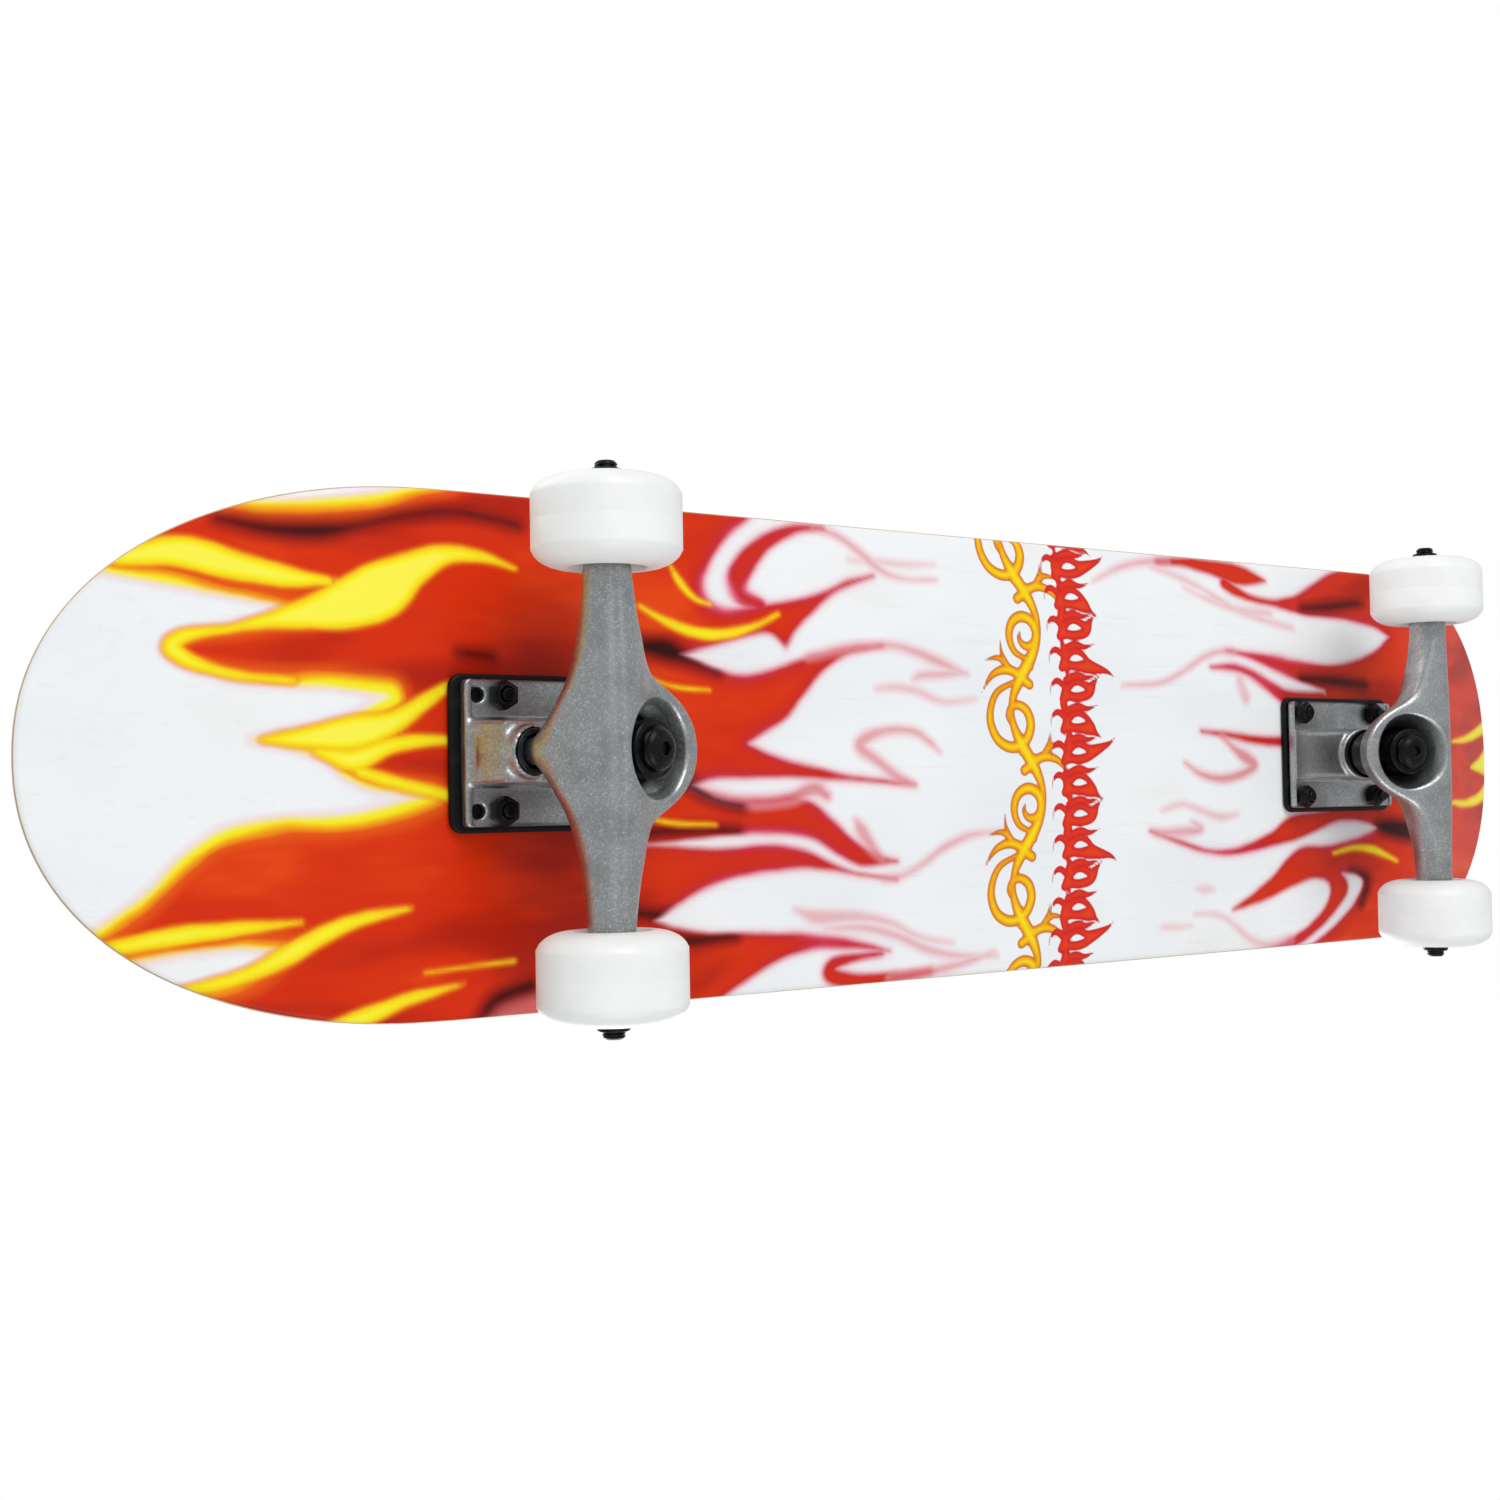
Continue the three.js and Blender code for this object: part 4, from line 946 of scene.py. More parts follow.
LICK_STROKES = [
    [(368, 66.5, 2.6), (350, 68.5, 5), (335, 64.6, 4.6), (318, 60.8, 3.2), (304, 59.4, 1.2)],
    [(343, 40.4, 0.6), (326, 45, 2), (311, 48, 4.8), (298, 51.5, 8), (286, 57, 9.4), (275, 64.5, 6),
     (262, 70.8, 3.2), (247, 71, 1.7), (234, 67.6, 0.3)],
    [(334, 42.8, 0.8), (347, 40.6, 2), (352.5, 36.8, 2.6), (347, 31.4, 2), (334, 27, 1.2),
     (316, 24.8, 0.9)],
    [(325, 5, 0.8), (309, 5.6, 3.8), (296, 7.6, 5.6), (282, 11.4, 3.6), (262, 24, 1.2)],
    [(308, 0.8, 1.6), (296, -2, 3.4), (284, 2.6, 2.6), (270, 4.6, 1.6), (258, 4.5, 0.6)],
    [(294, -6.4, 1.6), (282, -10, 1.9), (262, -15, 1.4)],
    [(372, -64, 2.2), (352, -60.6, 2.7), (333, -58.8, 1.9), (314, -57.2, 0.5)],
    [(350, -79, 1.4), (334, -75.5, 2.2), (319, -68.8, 2.8), (306, -61.4, 2.6), (294, -57, 2),
     (277, -54, 0.3)],
    [(306, -95, 2), (292, -91, 2.8), (276, -85.8, 1.8), (256, -82, 0.3)],
    [(270, -77, 0), (252, -75.8, 0), (236, -75, 0)],
    [(182, 56.2, 0.3), (170, 50.6, 1.3), (156, 47, 1.7), (142, 47.4, 1.5), (128, 51.4, 0.7),
     (118, 56, 0.2)],
    [(167, 72.5, 0.2), (163, 66, 1), (157, 60.5, 0.7), (150, 58.5, 0.1)],
    [(180, 29, 0), (168, 25.8, 0.1), (152, 24.8, 0)],
    [(184, -23.5, 0), (170, -26.4, 0.2), (150, -27.4, 0)],
    [(-222, -49.6, 0.2), (-238, -47.3, 1), (-254, -48.8, 1.4), (-274, -55.4, 0.3)],
    [(-344, 8, 0.3), (-364, 9.4, 1.4), (-384, 13.2, 2.4), (-404, 19, 3.6)],
    [(-342, -25.4, 0.5), (-364, -26.2, 1.7), (-386, -23.6, 2.6), (-404, -17, 4.4)],
    [(-375, -6, 0.5), (-388, -5, 3.4), (-402, -3, 8)],
]

DARK_STROKES = [
    [(338, 80, 0), (322, 77, 1.2), (306, 76.8, 1.8), (292, 79.5, 0.2), (276, 84, 0), (258, 87, 0),
     (246, 86, 0), (232, 84, 0)],
    [(180, 41, 2.4), (171, 40, 3.4), (162, 37, 1.6), (148, 32.5, 0.4)],
    [(170, -5, 1), (160, -12.6, 1.2), (148, -18, 0.5), (138, -20.6, 0.2)],
    [(190, -30, 0.8), (160, -29.2, 0.6), (140, -30.2, 0.2)],
    [(182, -71, 1), (162, -72, 1.4), (140, -71.5, 0.3)],
    [(248, -95, 0.6), (242, -88.5, 1.5), (229, -84.5, 1.5)],
    [(257, 36, 0), (245, 35, 0)],
    [(172, -62, 1.4), (186, -60, 1)],
    [(-256, -36, 0.6), (-265, -37.4, 3.4), (-286, -40, 4.2), (-310, -42, 2)],
    [(-205, 74, 0.4), (-225, 75.5, 1.1), (-252, 79, 0.6)],
    [(-200, 38, 1), (-222, 37.6, 1.6), (-250, 36, 0.8)],
    [(-236, -59.5, 0.4), (-250, -64, 1.1), (-246, -76, 0.5)],
]


def curl(centre, start_deg, turns, outer, inner, width):
    """A stroke that winds in on itself."""
    share = np.linspace(0, 1, 12)
    angle = math.radians(start_deg) + share * turns * math.tau
    reach = mix(outer, inner, share)
    thick = width * np.sin(math.pi * np.clip(0.12 + 0.83 * share, 0, 1)) ** 0.8
    return [
        (centre[0] + r * math.cos(a), centre[1] + r * math.sin(a), w)
        for r, a, w in zip(reach, angle, thick)
    ]


def vine_strokes():
    """A winding stem across the deck, with a curl in each of its bends and pointed shoots."""
    bend = 38.0
    sway = 9.0
    middle = -14.0
    strokes = [[
        (middle + sway * math.sin(math.pi * y / bend), y, 1.7 + 1.6 * math.cos(math.pi * y / bend) ** 2)
        for y in np.linspace(-DECK_REACH, DECK_REACH, 40)
    ]]
    # Shoots of each bend, as (out to the side, along the stem, half width)
    shoots = [
        [(-2, 12, 2.4), (9, 18, 2.3), (19, 16, 1.6), (26, 8, 0.2)],
        [(8, 17, 1.6), (15, 23, 1.4), (24, 22, 0.2)],
        [(3, -18, 2.0), (-7, -21, 2.0), (-13, -14, 1.2), (-14, -7, 0.2)],
    ]
    for count in range(-3, 3):
        side = 1 if count % 2 == 0 else -1
        y = (count + 0.5) * bend
        reach = 17.0 if side > 0 else 11.0
        hub = middle + (7 if side > 0 else -1)
        strokes.append(curl((hub, y - 4), 90 * side, -1.3 * side, reach, 3.4, 2.6))
        for shoot in shoots:
            strokes.append([(middle + side * out, y + along, width) for out, along, width in shoot])
    return strokes


BLAZE_SPACING = 14.0
BLAZE_COUNTS = range(-7, 8)


def blaze_strokes():
    """A column of small flames side by side across the deck."""
    strokes = [[
        (-38 - 1.5 * math.sin(y / 5), y, 1.6 + 0.8 * math.sin(y / 3.1))
        for y in np.linspace(-DECK_REACH, DECK_REACH, 60)
    ]]
    for count in BLAZE_COUNTS:
        y = count * BLAZE_SPACING
        lean = 5.0 if count % 2 == 0 else -4.0
        tall = 1.0 if count % 3 else 1.14
        strokes.append([
            (-36, y - 3, 2), (-40, y, 4.0), (-46, y + 1, 5.2), (-52, y - 0.5 + lean * 0.3, 3.6),
            (-57 * tall + 1, y + lean, 1.2), (-63 * tall + 3, y + lean * 1.7, 0.1),
        ])
        strokes.append([
            (-38, y + 5.5, 1.6), (-45, y + 7.6, 1.9), (-51, y + 6.8, 1.2), (-58, y + 8.6, 0.1),
        ])
        strokes.append([(-38, y + 2, 1.6), (-33, y + 5, 1.5), (-29.5, y + 3, 0.8), (-28.5, y - 1, 0.1)])
    return strokes


def blaze_gaps():
    """Slim white teardrops left inside the flames of the column."""
    return [
        [(-41, y + 0.6, 0.2), (-45, y + 1.6, 1.5), (-50, y + 1.2, 0.2)]
        for y in (count * BLAZE_SPACING for count in BLAZE_COUNTS)
    ]


# Where the fire's rims turn from crimson to yellow towards each end
NOSE_GLOW = (205, 240)
TAIL_GLOW = (352, 372)


def paint(x, y):
    """Every layer of the print at points on the deck."""
    drawing = Drawing(x, y)
    fire = np.maximum(drawing.region(FRONT_FIRE), drawing.region(REAR_FIRE))
    for stroke in FIRE_STROKES:
        drawing.stroke(fire, stroke)
    for patch in WHITE_PATCHES:
        fire = np.minimum(fire, -drawing.region(patch))
    veil, strength = drawing.blank(), np.zeros(len(x))
    for amount, stroke in VEIL_STROKES:
        before = veil.copy()
        drawing.stroke(veil, [(px, py, VEIL_SPREAD * width) for px, py, width in stroke])
        strength = np.where(veil > before, amount, strength)
    layers = {"fire": fire, "veil": veil, "veil_strength": strength}
    for name, strokes in (
        ("lick", LICK_STROKES), ("dark", DARK_STROKES), ("vine", vine_strokes()), ("blaze", blaze_strokes()),
    ):
        layers[name] = drawing.blank()
        for stroke in strokes:
            drawing.stroke(layers[name], stroke)
    gaps = drawing.blank()
    for gap in blaze_gaps():
        drawing.stroke(gaps, gap)
    layers["blaze"] = np.minimum(layers["blaze"], -gaps)
    layers["glow"] = np.maximum(smoothstep(x, *NOSE_GLOW), smoothstep(-x, *TAIL_GLOW))
    return layers


# ---- Deck and grip tape ----

BOLT_PLACES = [
    (end * TRUCK_X + along * BOLT_HALF_X, side * BOLT_HALF_Y)
    for end in (1, -1) for along in (1, -1) for side in (1, -1)
]


def drill_bolts(mesh, radius, low, high, sink=0.0):
    """The mesh with a hole for every truck bolt, each widened at its top by the sink."""
    above = high + 3
    profile = [
        (0, low), (radius, low), (radius, high - sink - 1.4), (radius + sink, high), (radius + sink, above),
        (0, above),
    ]
    hole = spin(profile, 32)
    return cut_away(mesh, [join_shapes(*[placed(hole, (x, y, 0), (0, 0, 1)) for x, y in BOLT_PLACES])])


def read_out(collection, name, kind, width=1):
    """One value, or a row of values, for every item of a mesh's collection."""
    values = np.empty(len(collection) * width, kind)
    collection.foreach_get(name, values)
    return values


def deck_looks(mesh):
    """Which look each face has: the print below, the plies round the edge or the veneer on top."""
    edge_share = 0.1
    ply = read_out(mesh.attributes["ply"].data, "value", np.float32)
    corner_vertex = read_out(mesh.loops, "vertex_index", int)
    starts = read_out(mesh.polygons, "loop_start", int)
    corners = np.diff(np.append(starts, len(corner_vertex)))
    level = np.add.reduceat(ply[corner_vertex], starts) / corners
    return np.where(level < edge_share, 0, np.where(level > 1 - edge_share, 2, 1)).astype(np.int32)


def add_deck():
    points, faces, height, _ = deck_shell(
        0.0, DECK_THICKNESS, 0.0, DECK_EDGE_ROUND,
        straight_step=1.5, end_steps=120, under_columns=200, top_columns=16, rim_steps=5)
    mesh = build_mesh("deck_plywood", points, faces, ply=height / DECK_THICKNESS)
    mesh = drill_bolts(mesh, HOLE_RADIUS, DECK_UNDERSIDE - 3, DECK_TOP + 0.1, sink=2.6)
    places = read_out(mesh.vertices, "co", np.float32, 3).reshape(-1, 3) / MM
    for name, values in paint(places[:, 0].astype(float), places[:, 1].astype(float)).items():
        set_values(mesh, name, values)
    shade(mesh, 50)
    looks = deck_looks(mesh)
    deck = add_piece("deck_plywood", mesh, ["print", "ply", "veneer"], ["deck"])
    mesh.polygons.foreach_set("material_index", looks)
    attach(deck, "deck")


def add_grip_tape():
    points, faces, _, inset = deck_shell(
        GRIP_BOTTOM, GRIP_TOP, DECK_EDGE_ROUND - 0.5, 0.15,
        straight_step=4.0, end_steps=70, under_columns=44, top_columns=44, rim_steps=3)
    filed = (inset < DECK_EDGE_ROUND) & (np.abs(inset - inset.max()) > 0.01)
    mesh = build_mesh("grip_sheet", points, faces, filed=filed)
    mesh = drill_bolts(mesh, BOLT_HEAD_RADIUS + 0.7, DECK_TOP - 2, DECK_TOP + 4)
    shade(mesh, 40)
    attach(add_piece("grip_sheet", mesh, ["grit"], ["griptape"]), "deck")


# ---- Castings, as distances in the truck's frame ----


def up_kingpin(points):
    """Distance up the kingpin, towards the board's middle, and sideways."""
    offset = points - KINGPIN_END
    inward = np.cross(KINGPIN_UP, SIDE)
    return offset @ KINGPIN_UP, offset @ inward, points[..., 1]


def in_pivot(points):
    """Depth into the pivot housing, and distance from its axis."""
    offset = points - PIVOT_MOUTH
    depth = offset @ PIVOT_IN
    return depth, np.sqrt(np.maximum((offset**2).sum(-1) - depth**2, 0))


def round_cone(points, root, tip, root_radius, tip_radius):
    along = np.array(tip) - np.array(root)
    t = np.clip((points - root) @ along / (along @ along), 0, 1)
    away = np.linalg.norm(points - root - t[..., None] * along, axis=-1)
    return away - mix(root_radius, tip_radius, t)


AXLE_INWARD = -16.2                    # the axle, measured from the kingpin towards the middle
NOSE_LEAN = math.atan2(14.9, 26.0)
ARM_RADIUS = (7.7, 8.8)                # at the hanger's end and near its middle
ARM_SWELL = 34.0                       # how tall the arms would grow at the middle
SWELL_FADE = 0.0695                    # how fast that dies away along an arm
SWELL_MOST = 15.5
RING_RADIUS = (17.8, 12.8)             # the ring round the kingpin, at its mouth and its top
RING_SHIFT = 6.0
RING_RUN = (3.0, 21.6)                 # where up the kingpin it narrows from, and over what height

# The opening round the kingpin: height, its reach to the middle, to the end and to each side
OPENING = np.array([
    (-6, 21, 20, 22.5), (-0.35, 18.2, 16.4, 18.4), (3, 17.0, 14.0, 17.6), (8, 14.8, 11.2, 15.6),
    (13, 12.2, 10.6, 12.2), (16, 11.6, 11.6, 11.6), (40, 11.6, 11.6, 11.6),
])
SEAT_RADIUS = 11.6
WEB_BORE = 7.0
HANGER_TOP = 42.0                      # up the kingpin; the pivot ball ends flat here, inside its cup


def hanger_arms(points):
    """The two arms, drawn out upwards towards the pivot nose as they near the middle."""
    side = np.abs(points[..., 1])
    across = points[..., 0] - AXLE_OFFSET
    rise = points[..., 2] - WHEEL_RADIUS
    along = across * math.sin(NOSE_LEAN) + rise * math.cos(NOSE_LEAN)
    away = across * math.cos(NOSE_LEAN) - rise * math.sin(NOSE_LEAN)
    swell = blended(ARM_SWELL * np.exp(-SWELL_FADE * side), SWELL_MOST, 6)
    radius = mix(*ARM_RADIUS, smoothstep(HANGER_HALF_LENGTH - side, 6, 50))
    arm = np.hypot(away, along - np.clip(along, 0, swell)) - radius
    under = smoothstep(-rise, 2, 7)
    lines = sum(
        height * np.exp(-(((across - place) / width) ** 2))
        for height, place, width in ((0.35, 5.0, 2.0), (-0.5, 2.4, 1.2), (0.35, 0.1, 1.6))
    )
    return arm - under * lines


def hanger_yoke(up, inward, side):
    """The plate around the kingpin, run out in curves along both arms."""
    start, height = RING_RUN
    share = np.clip((up - start) / height, -0.2, 1)
    ring = np.hypot(inward - RING_SHIFT * (1 - share), side) - mix(*RING_RADIUS, share)
    ahead = inward - AXLE_INWARD
    outline = blended(ring, ahead - 5, 38) + 0.25 * np.maximum(side - 38, 0)
    beyond = np.maximum(side - 8, 0)
    lip = -0.35 + 0.08 * (inward + 16.7) + 0.06 * beyond - up
    crown = up - COLLAR_TOP + 0.27 * beyond
    plate = trimmed(trimmed(outline, lip, 2.4), crown, 6)
    return trimmed(plate, -ahead - 1.5, 4)


def hanger_distance(points):
    y = points[..., 1]
    up, inward, _ = up_kingpin(points)
    tip = PIVOT_MOUTH - 6 * PIVOT_IN
    nose = round_cone(points, np.array([13.5, 0, 33]), tip, 8.0, 5.2)
    body = blended(blended(hanger_arms(points), hanger_yoke(up, inward, np.abs(y)), 9), nose, 8)
    body = trimmed(body, np.abs(y) - HANGER_HALF_LENGTH, 1.2)

    depth, away = in_pivot(points)
    neck = np.maximum(away - mix(5.5, 4.5, np.clip((depth + 7) / 8.5, 0, 1)), np.abs(depth + 3) - 6.5)
    ball = np.hypot(depth - PIVOT_BALL_DEPTH, away) - PIVOT_BALL_RADIUS
    body = blended(body, blended(neck, ball, 1.2), 2.0)

    inner, outer, half = (np.interp(up, OPENING[:, 0], OPENING[:, column]) for column in (1, 2, 3))
    middle = (inner - outer) / 2
    reach = (inner + outer) / 2
    ellipse = np.hypot((inward - middle) / reach, y / half)
    funnel = (ellipse - 1) * np.minimum(reach, half)
    funnel = trimmed(funnel, up - HANGER_WEB[0], 1.0)
    body = trimmed(body, -funnel, 1.4)

    from_kingpin = np.hypot(inward, y)
    seat = np.maximum(from_kingpin - SEAT_RADIUS, HANGER_WEB[1] - up)
    body = trimmed(body, -seat, 0.4)
    beyond = 100 * (up > HANGER_TOP)
    body = trimmed(body, WEB_BORE - from_kingpin + beyond, 0.8)
    across = points[..., 0] - AXLE_OFFSET
    return trimmed(body, AXLE_RADIUS + 0.3 - np.hypot(across, points[..., 2] - WHEEL_RADIUS), 0.6)


def polygon_distance(x, z, outline):
    """Distance to a closed outline, negative inside it."""
    reach = np.full(x.shape, np.inf)
    inside = np.zeros(x.shape, bool)
    for start, end in zip(outline, outline[1:] + outline[:1]):
        inside ^= left_of_segment(x, z, start, end)
        reach = np.minimum(reach, from_segment(x, z, start, end)[1])
    return np.where(inside, -reach, reach)


def rounded_box(points, low, high, corner):
    """Distance to an upright box with its four upright edges rounded."""
    low, high = np.array(low), np.array(high)
    centre, half = (low + high) / 2, (high - low) / 2
    away = np.abs(points - centre) - half
    flat = away[..., :2] + corner
    outside = np.hypot(np.maximum(flat[..., 0], 0), np.maximum(flat[..., 1], 0))
    level = outside + np.minimum(flat.max(-1), 0) - corner
    return level, away[..., 2]


def bolt_holes(points, rows_x):
    """Distance to the bolt holes of both sides, in rows at the given places."""
    reach = [np.hypot(points[..., 0] - x, np.abs(points[..., 1]) - BOLT_HALF_Y) for x in rows_x]
    return np.minimum.reduce(reach) - HOLE_RADIUS


# The raised middle of the baseplate, seen from the side
BLOCK_OUTLINE = [
    (PLATE_INNER_X + 1, PLATE_TOP - 1), (PLATE_OUTER_X - 0.4, PLATE_TOP - 1),
    (PLATE_OUTER_X - 0.6, PLATE_BOTTOM), (38.2, 66.2), (34.6, 55.4), (17, 57), (4, 61.5), (-8.5, 65),
    (PLATE_INNER_X + 1.2, PLATE_BOTTOM + 0.5),
]
BLOCK_HALF_WIDTH = 11.2
CHANNEL_SIDES = (12.35, 25.75)         # the sunk channels that the truck bolts' nuts sit in


def baseplate_distance(points):
    x, y, z = points[..., 0], points[..., 1], points[..., 2]
    low = (PLATE_INNER_X, -PLATE_HALF_WIDTH, PLATE_BOTTOM)
    high = (PLATE_OUTER_X, PLATE_HALF_WIDTH, PLATE_TOP)
    plate = trimmed(*rounded_box(points, low, high, 2.0), 0.7)
    block_sides = np.abs(y) - BLOCK_HALF_WIDTH - (z - 60) * 0.03
    block = trimmed(polygon_distance(x, z, BLOCK_OUTLINE), block_sides, 2.4)
    up, inward, _ = up_kingpin(points)
    from_kingpin = np.hypot(inward, y)
    boss = trimmed(from_kingpin - 12.8, np.maximum(PLATE_SEAT - up, up - 52), 1.2)
    depth, away = in_pivot(points)
    housing = trimmed(away - mix(9.3, 10.2, np.clip(depth / 14, 0, 1)), np.maximum(-depth, depth - 18), 1.4)
    body = blended(blended(block, boss, 2.0), housing, 2.2)

    inner, outer = CHANNEL_SIDES
    low = (PLATE_INNER_X + 0.6, inner, 40)
    high = (PLATE_OUTER_X - 2.4, outer, CHANNEL_FLOOR)
    for side in (1, -1):
        sides, roof = rounded_box(points * np.array([1, side, 1]), low, high, 1.0)
        plate = trimmed(plate, -np.maximum(sides, roof), 0.5)
    body = blended(plate, body, 1.6)

    holes = bolt_holes(points, (BOLT_HALF_X, -BOLT_HALF_X, SPARE_HOLE_X))
    pocket = np.minimum(np.maximum(away - 8.4, depth - 1.6), np.maximum(away - 7.7, depth - 13))
    bore = from_kingpin - 5.0
    recess = np.maximum(from_kingpin - 9.4, KINGPIN_HEAD[0] - 0.3 - up)
    for hole in (holes, pocket, bore, recess):
        body = trimmed(body, -hole, 0.5)
    return trimmed(body, z - PLATE_TOP, 0.4)


def riser_distance(points):
    half_width = PLATE_HALF_WIDTH + 2.2
    low = (PLATE_INNER_X - 1.8, -half_width, RISER_BOTTOM)
    high = (PLATE_OUTER_X + 3.9, half_width, RISER_TOP)
    pad = trimmed(*rounded_box(points, low, high, 5.0), 1.4)
    return trimmed(pad, -bolt_holes(points, (BOLT_HALF_X, -BOLT_HALF_X)), 0.4)


# ---- Turned pieces of a truck ----


def on_kingpin(shape):
    return placed(shape, KINGPIN_END, KINGPIN_UP)


def turned(points, angle_deg):
    """Points turned about the upright axis."""
    c, s = math.cos(math.radians(angle_deg)), math.sin(math.radians(angle_deg))
    return points @ np.array([[c, s, 0], [-s, c, 0], [0, 0, 1]])


def rows(low, high, step):
    """Heights from low to high, about a step apart."""
    return np.linspace(low, high, max(int(round((high - low) / step)), 1) + 1)


def kingpin_shape():
    hexagon = 14.3
    head_low, head_high = KINGPIN_HEAD
    profile = [
        (0, -0.5), (4.0, -0.5), (4.7, 0.2), (4.7, head_low - 0.6), (5.6, head_low), (8.6, head_low + 0.1),
        (8.6, head_high - 1), (7.0, head_high), (0, head_high),
    ]
    return on_kingpin(spin(soften(profile, 0.3, 2), 72, flats=hexagon))


def domed_nut_shape():
    """A lock nut with a smooth dome towards the road and a small hole at its crown."""
    outline = [
        (2.4, 1.4), (2.4, 0.3), (2.9, 0.0), (4.6, 0.25), (6.3, 1.0), (7.3, 2.1), (7.6, 3.0), (8.25, 3.3),
        (8.25, 4.2), (7.4, 4.6), (4.9, 4.6), (4.9, 1.4),
    ]
    profile = [(radius, KINGPIN_NUT_LOW + height) for radius, height in soften(outline, 0.35)]
    return on_kingpin(spin([*profile, profile[0]], 90, closed=True, flats=15.3))


def washer_shape(span, radius, rim_up):
    """A cup washer, its rim turned towards the bushing."""
    low, high = span
    bore = 5.0
    if rim_up:
        profile = [
            (bore, low), (radius - 0.6, low), (radius, low + 0.6), (radius, high + 0.9),
            (radius - 0.5, high + 0.9), (radius - 0.9, high), (bore, high),
        ]
    else:
        profile = [
            (bore, high), (bore, low), (radius - 0.9, low), (radius - 0.5, low - 0.9),
            (radius, low - 0.9), (radius, high - 0.6), (radius - 0.6, high),
        ]
    return on_kingpin(spin([*soften(profile, 0.25, 2), profile[0]], 72, closed=True))


def bushing_shape(outline, span, rounding):
    """An outline turned round the kingpin, with rings of points up its bore."""
    bore = outline[0][0]
    low, high = span
    inner = [(bore, height) for height in rows(high, low, 1.5)[1:-1]]
    return on_kingpin(spin([*soften(outline, rounding), *inner, outline[0]], 72, closed=True))


def road_bushing_shape():
    low, high = ROAD_BUSHING
    profile = [
        (5.0, low), (9.4, low), (9.9, low + 0.5), (10.1, low + 3), (10.4, 14), (10.8, high - 1.2),
        (10.4, high), (5.0, high),
    ]
    return bushing_shape(profile, ROAD_BUSHING, 0.6)


def deck_bushing_shape():
    low, high = DECK_BUSHING
    middle = (low + high) / 2
    profile = [
        (5.0, low), (10.2, low), (10.8, low + 0.6), (11.15, low + 2.6), (11.2, middle),
        (11.15, high - 2.6), (10.8, high - 0.6), (10.2, high), (5.0, high),
    ]
    return bushing_shape(profile, DECK_BUSHING, 0.5)


def pivot_cup_shape():
    pocket = PIVOT_BALL_RADIUS + 0.4
    mouth = math.pi - math.asin(5.7 / pocket)
    inner = [
        (pocket * math.sin(angle), PIVOT_BALL_DEPTH + pocket * math.cos(angle))
        for angle in np.linspace(0, mouth, 14)
    ]
    outer = [(6.3, -0.4), (8.1, -0.4), (8.1, 1.3), (7.4, 1.3), (7.4, 12.6), (0, 12.6)]
    return placed(spin([*inner, *soften(outer, 0.4)], 64), PIVOT_MOUTH, PIVOT_IN)


def axle_shape():
    end = AXLE_HALF_LENGTH
    pitch = 1.06
    thread_start = 87.0
    heights = [*rows(-end + 0.8, -thread_start, pitch / 6), *rows(thread_start, end - 0.8, pitch / 6)]
    profile = [(0, -end), (3.0, -end), *[(AXLE_RADIUS, h) for h in heights], (3.0, end), (0, end)]
    points, faces = spin(profile, 36, thread=(-end, end, pitch, 0.38))
    middle = np.abs(points[:, 2]) < thread_start + 0.01
    reach = np.hypot(points[:, 0], points[:, 1])
    points[middle, :2] *= (AXLE_RADIUS / reach[middle])[:, None]
    return placed((points, faces), (AXLE_OFFSET, 0, WHEEL_RADIUS), (0, 1, 0))


def ring_profile(bore, radius, low, high, chamfer):
    return [
        (bore, low + chamfer), (bore + chamfer, low), (radius - chamfer, low), (radius, low + chamfer),
        (radius, high - chamfer), (radius - chamfer, high), (bore + chamfer, high), (bore, high - chamfer),
    ]


def closed_ring(profile, segments=64, **more):
    return spin([*profile, profile[0]], segments, closed=True, **more)


def wheel_shape():
    half = WHEEL_HALF_WIDTH
    turn = np.linspace(math.radians(14), math.pi / 2, 16)
    shoulder = [
        (WHEEL_RADIUS - SHOULDER_DEPTH * (1 - math.cos(a)), half - SHOULDER_WIDTH * (1 - math.sin(a)))
        for a in turn
    ]
    edge = half - SHOULDER_WIDTH * (1 - math.sin(turn[0])) - 0.5
    face = soften([
        shoulder[-1], (13.6, half - 0.1), (12.8, half - 1.2), (11.6, half - 3.0), (11.0, half - 3.2),
        (11.0, 4.9), (9.0, 4.9), (9.0, 0),
    ], 0.5)
    tread = [(WHEEL_RADIUS - 0.04, 0), (WHEEL_RADIUS, 0.25), (WHEEL_RADIUS, edge - 1), (WHEEL_RADIUS, edge)]
    side = [*tread, *shoulder, *face[1:-1]]
    lower = [(radius, -height) for radius, height in reversed(side[1:])]
    return spin([*lower, *side, lower[0]], 128, closed=True)


def bearing_shapes(direction):
    """A bearing's outer ring and its dark shield; direction is +1 on the wheel's outer side."""
    ring = closed_ring(ring_profile(9.1, 10.7, 5.0, 12.0, 0.35), 72)
    shield = closed_ring(soften([
        (6.6, 5.6), (9.1, 5.6), (9.1, 11.5), (8.6, 11.5), (8.2, 11.2), (7.2, 11.2), (6.8, 11.5), (6.6, 11.5),
    ], 0.15, 2), 72)
    return [(points * np.array([1, direction, direction]), faces) for points, faces in (ring, shield)]


def sleeve_shape():
    end = 11.9
    profile = [
        (4.3, -end + 0.3), (4.6, -end), (5.8, -end), (6.1, -end + 0.3), (6.1, -5), (5.2, -5),
        (5.2, 5), (6.1, 5), (6.1, end - 0.3), (5.8, end), (4.6, end), (4.3, end - 0.3),
    ]
    return closed_ring(profile, 48)


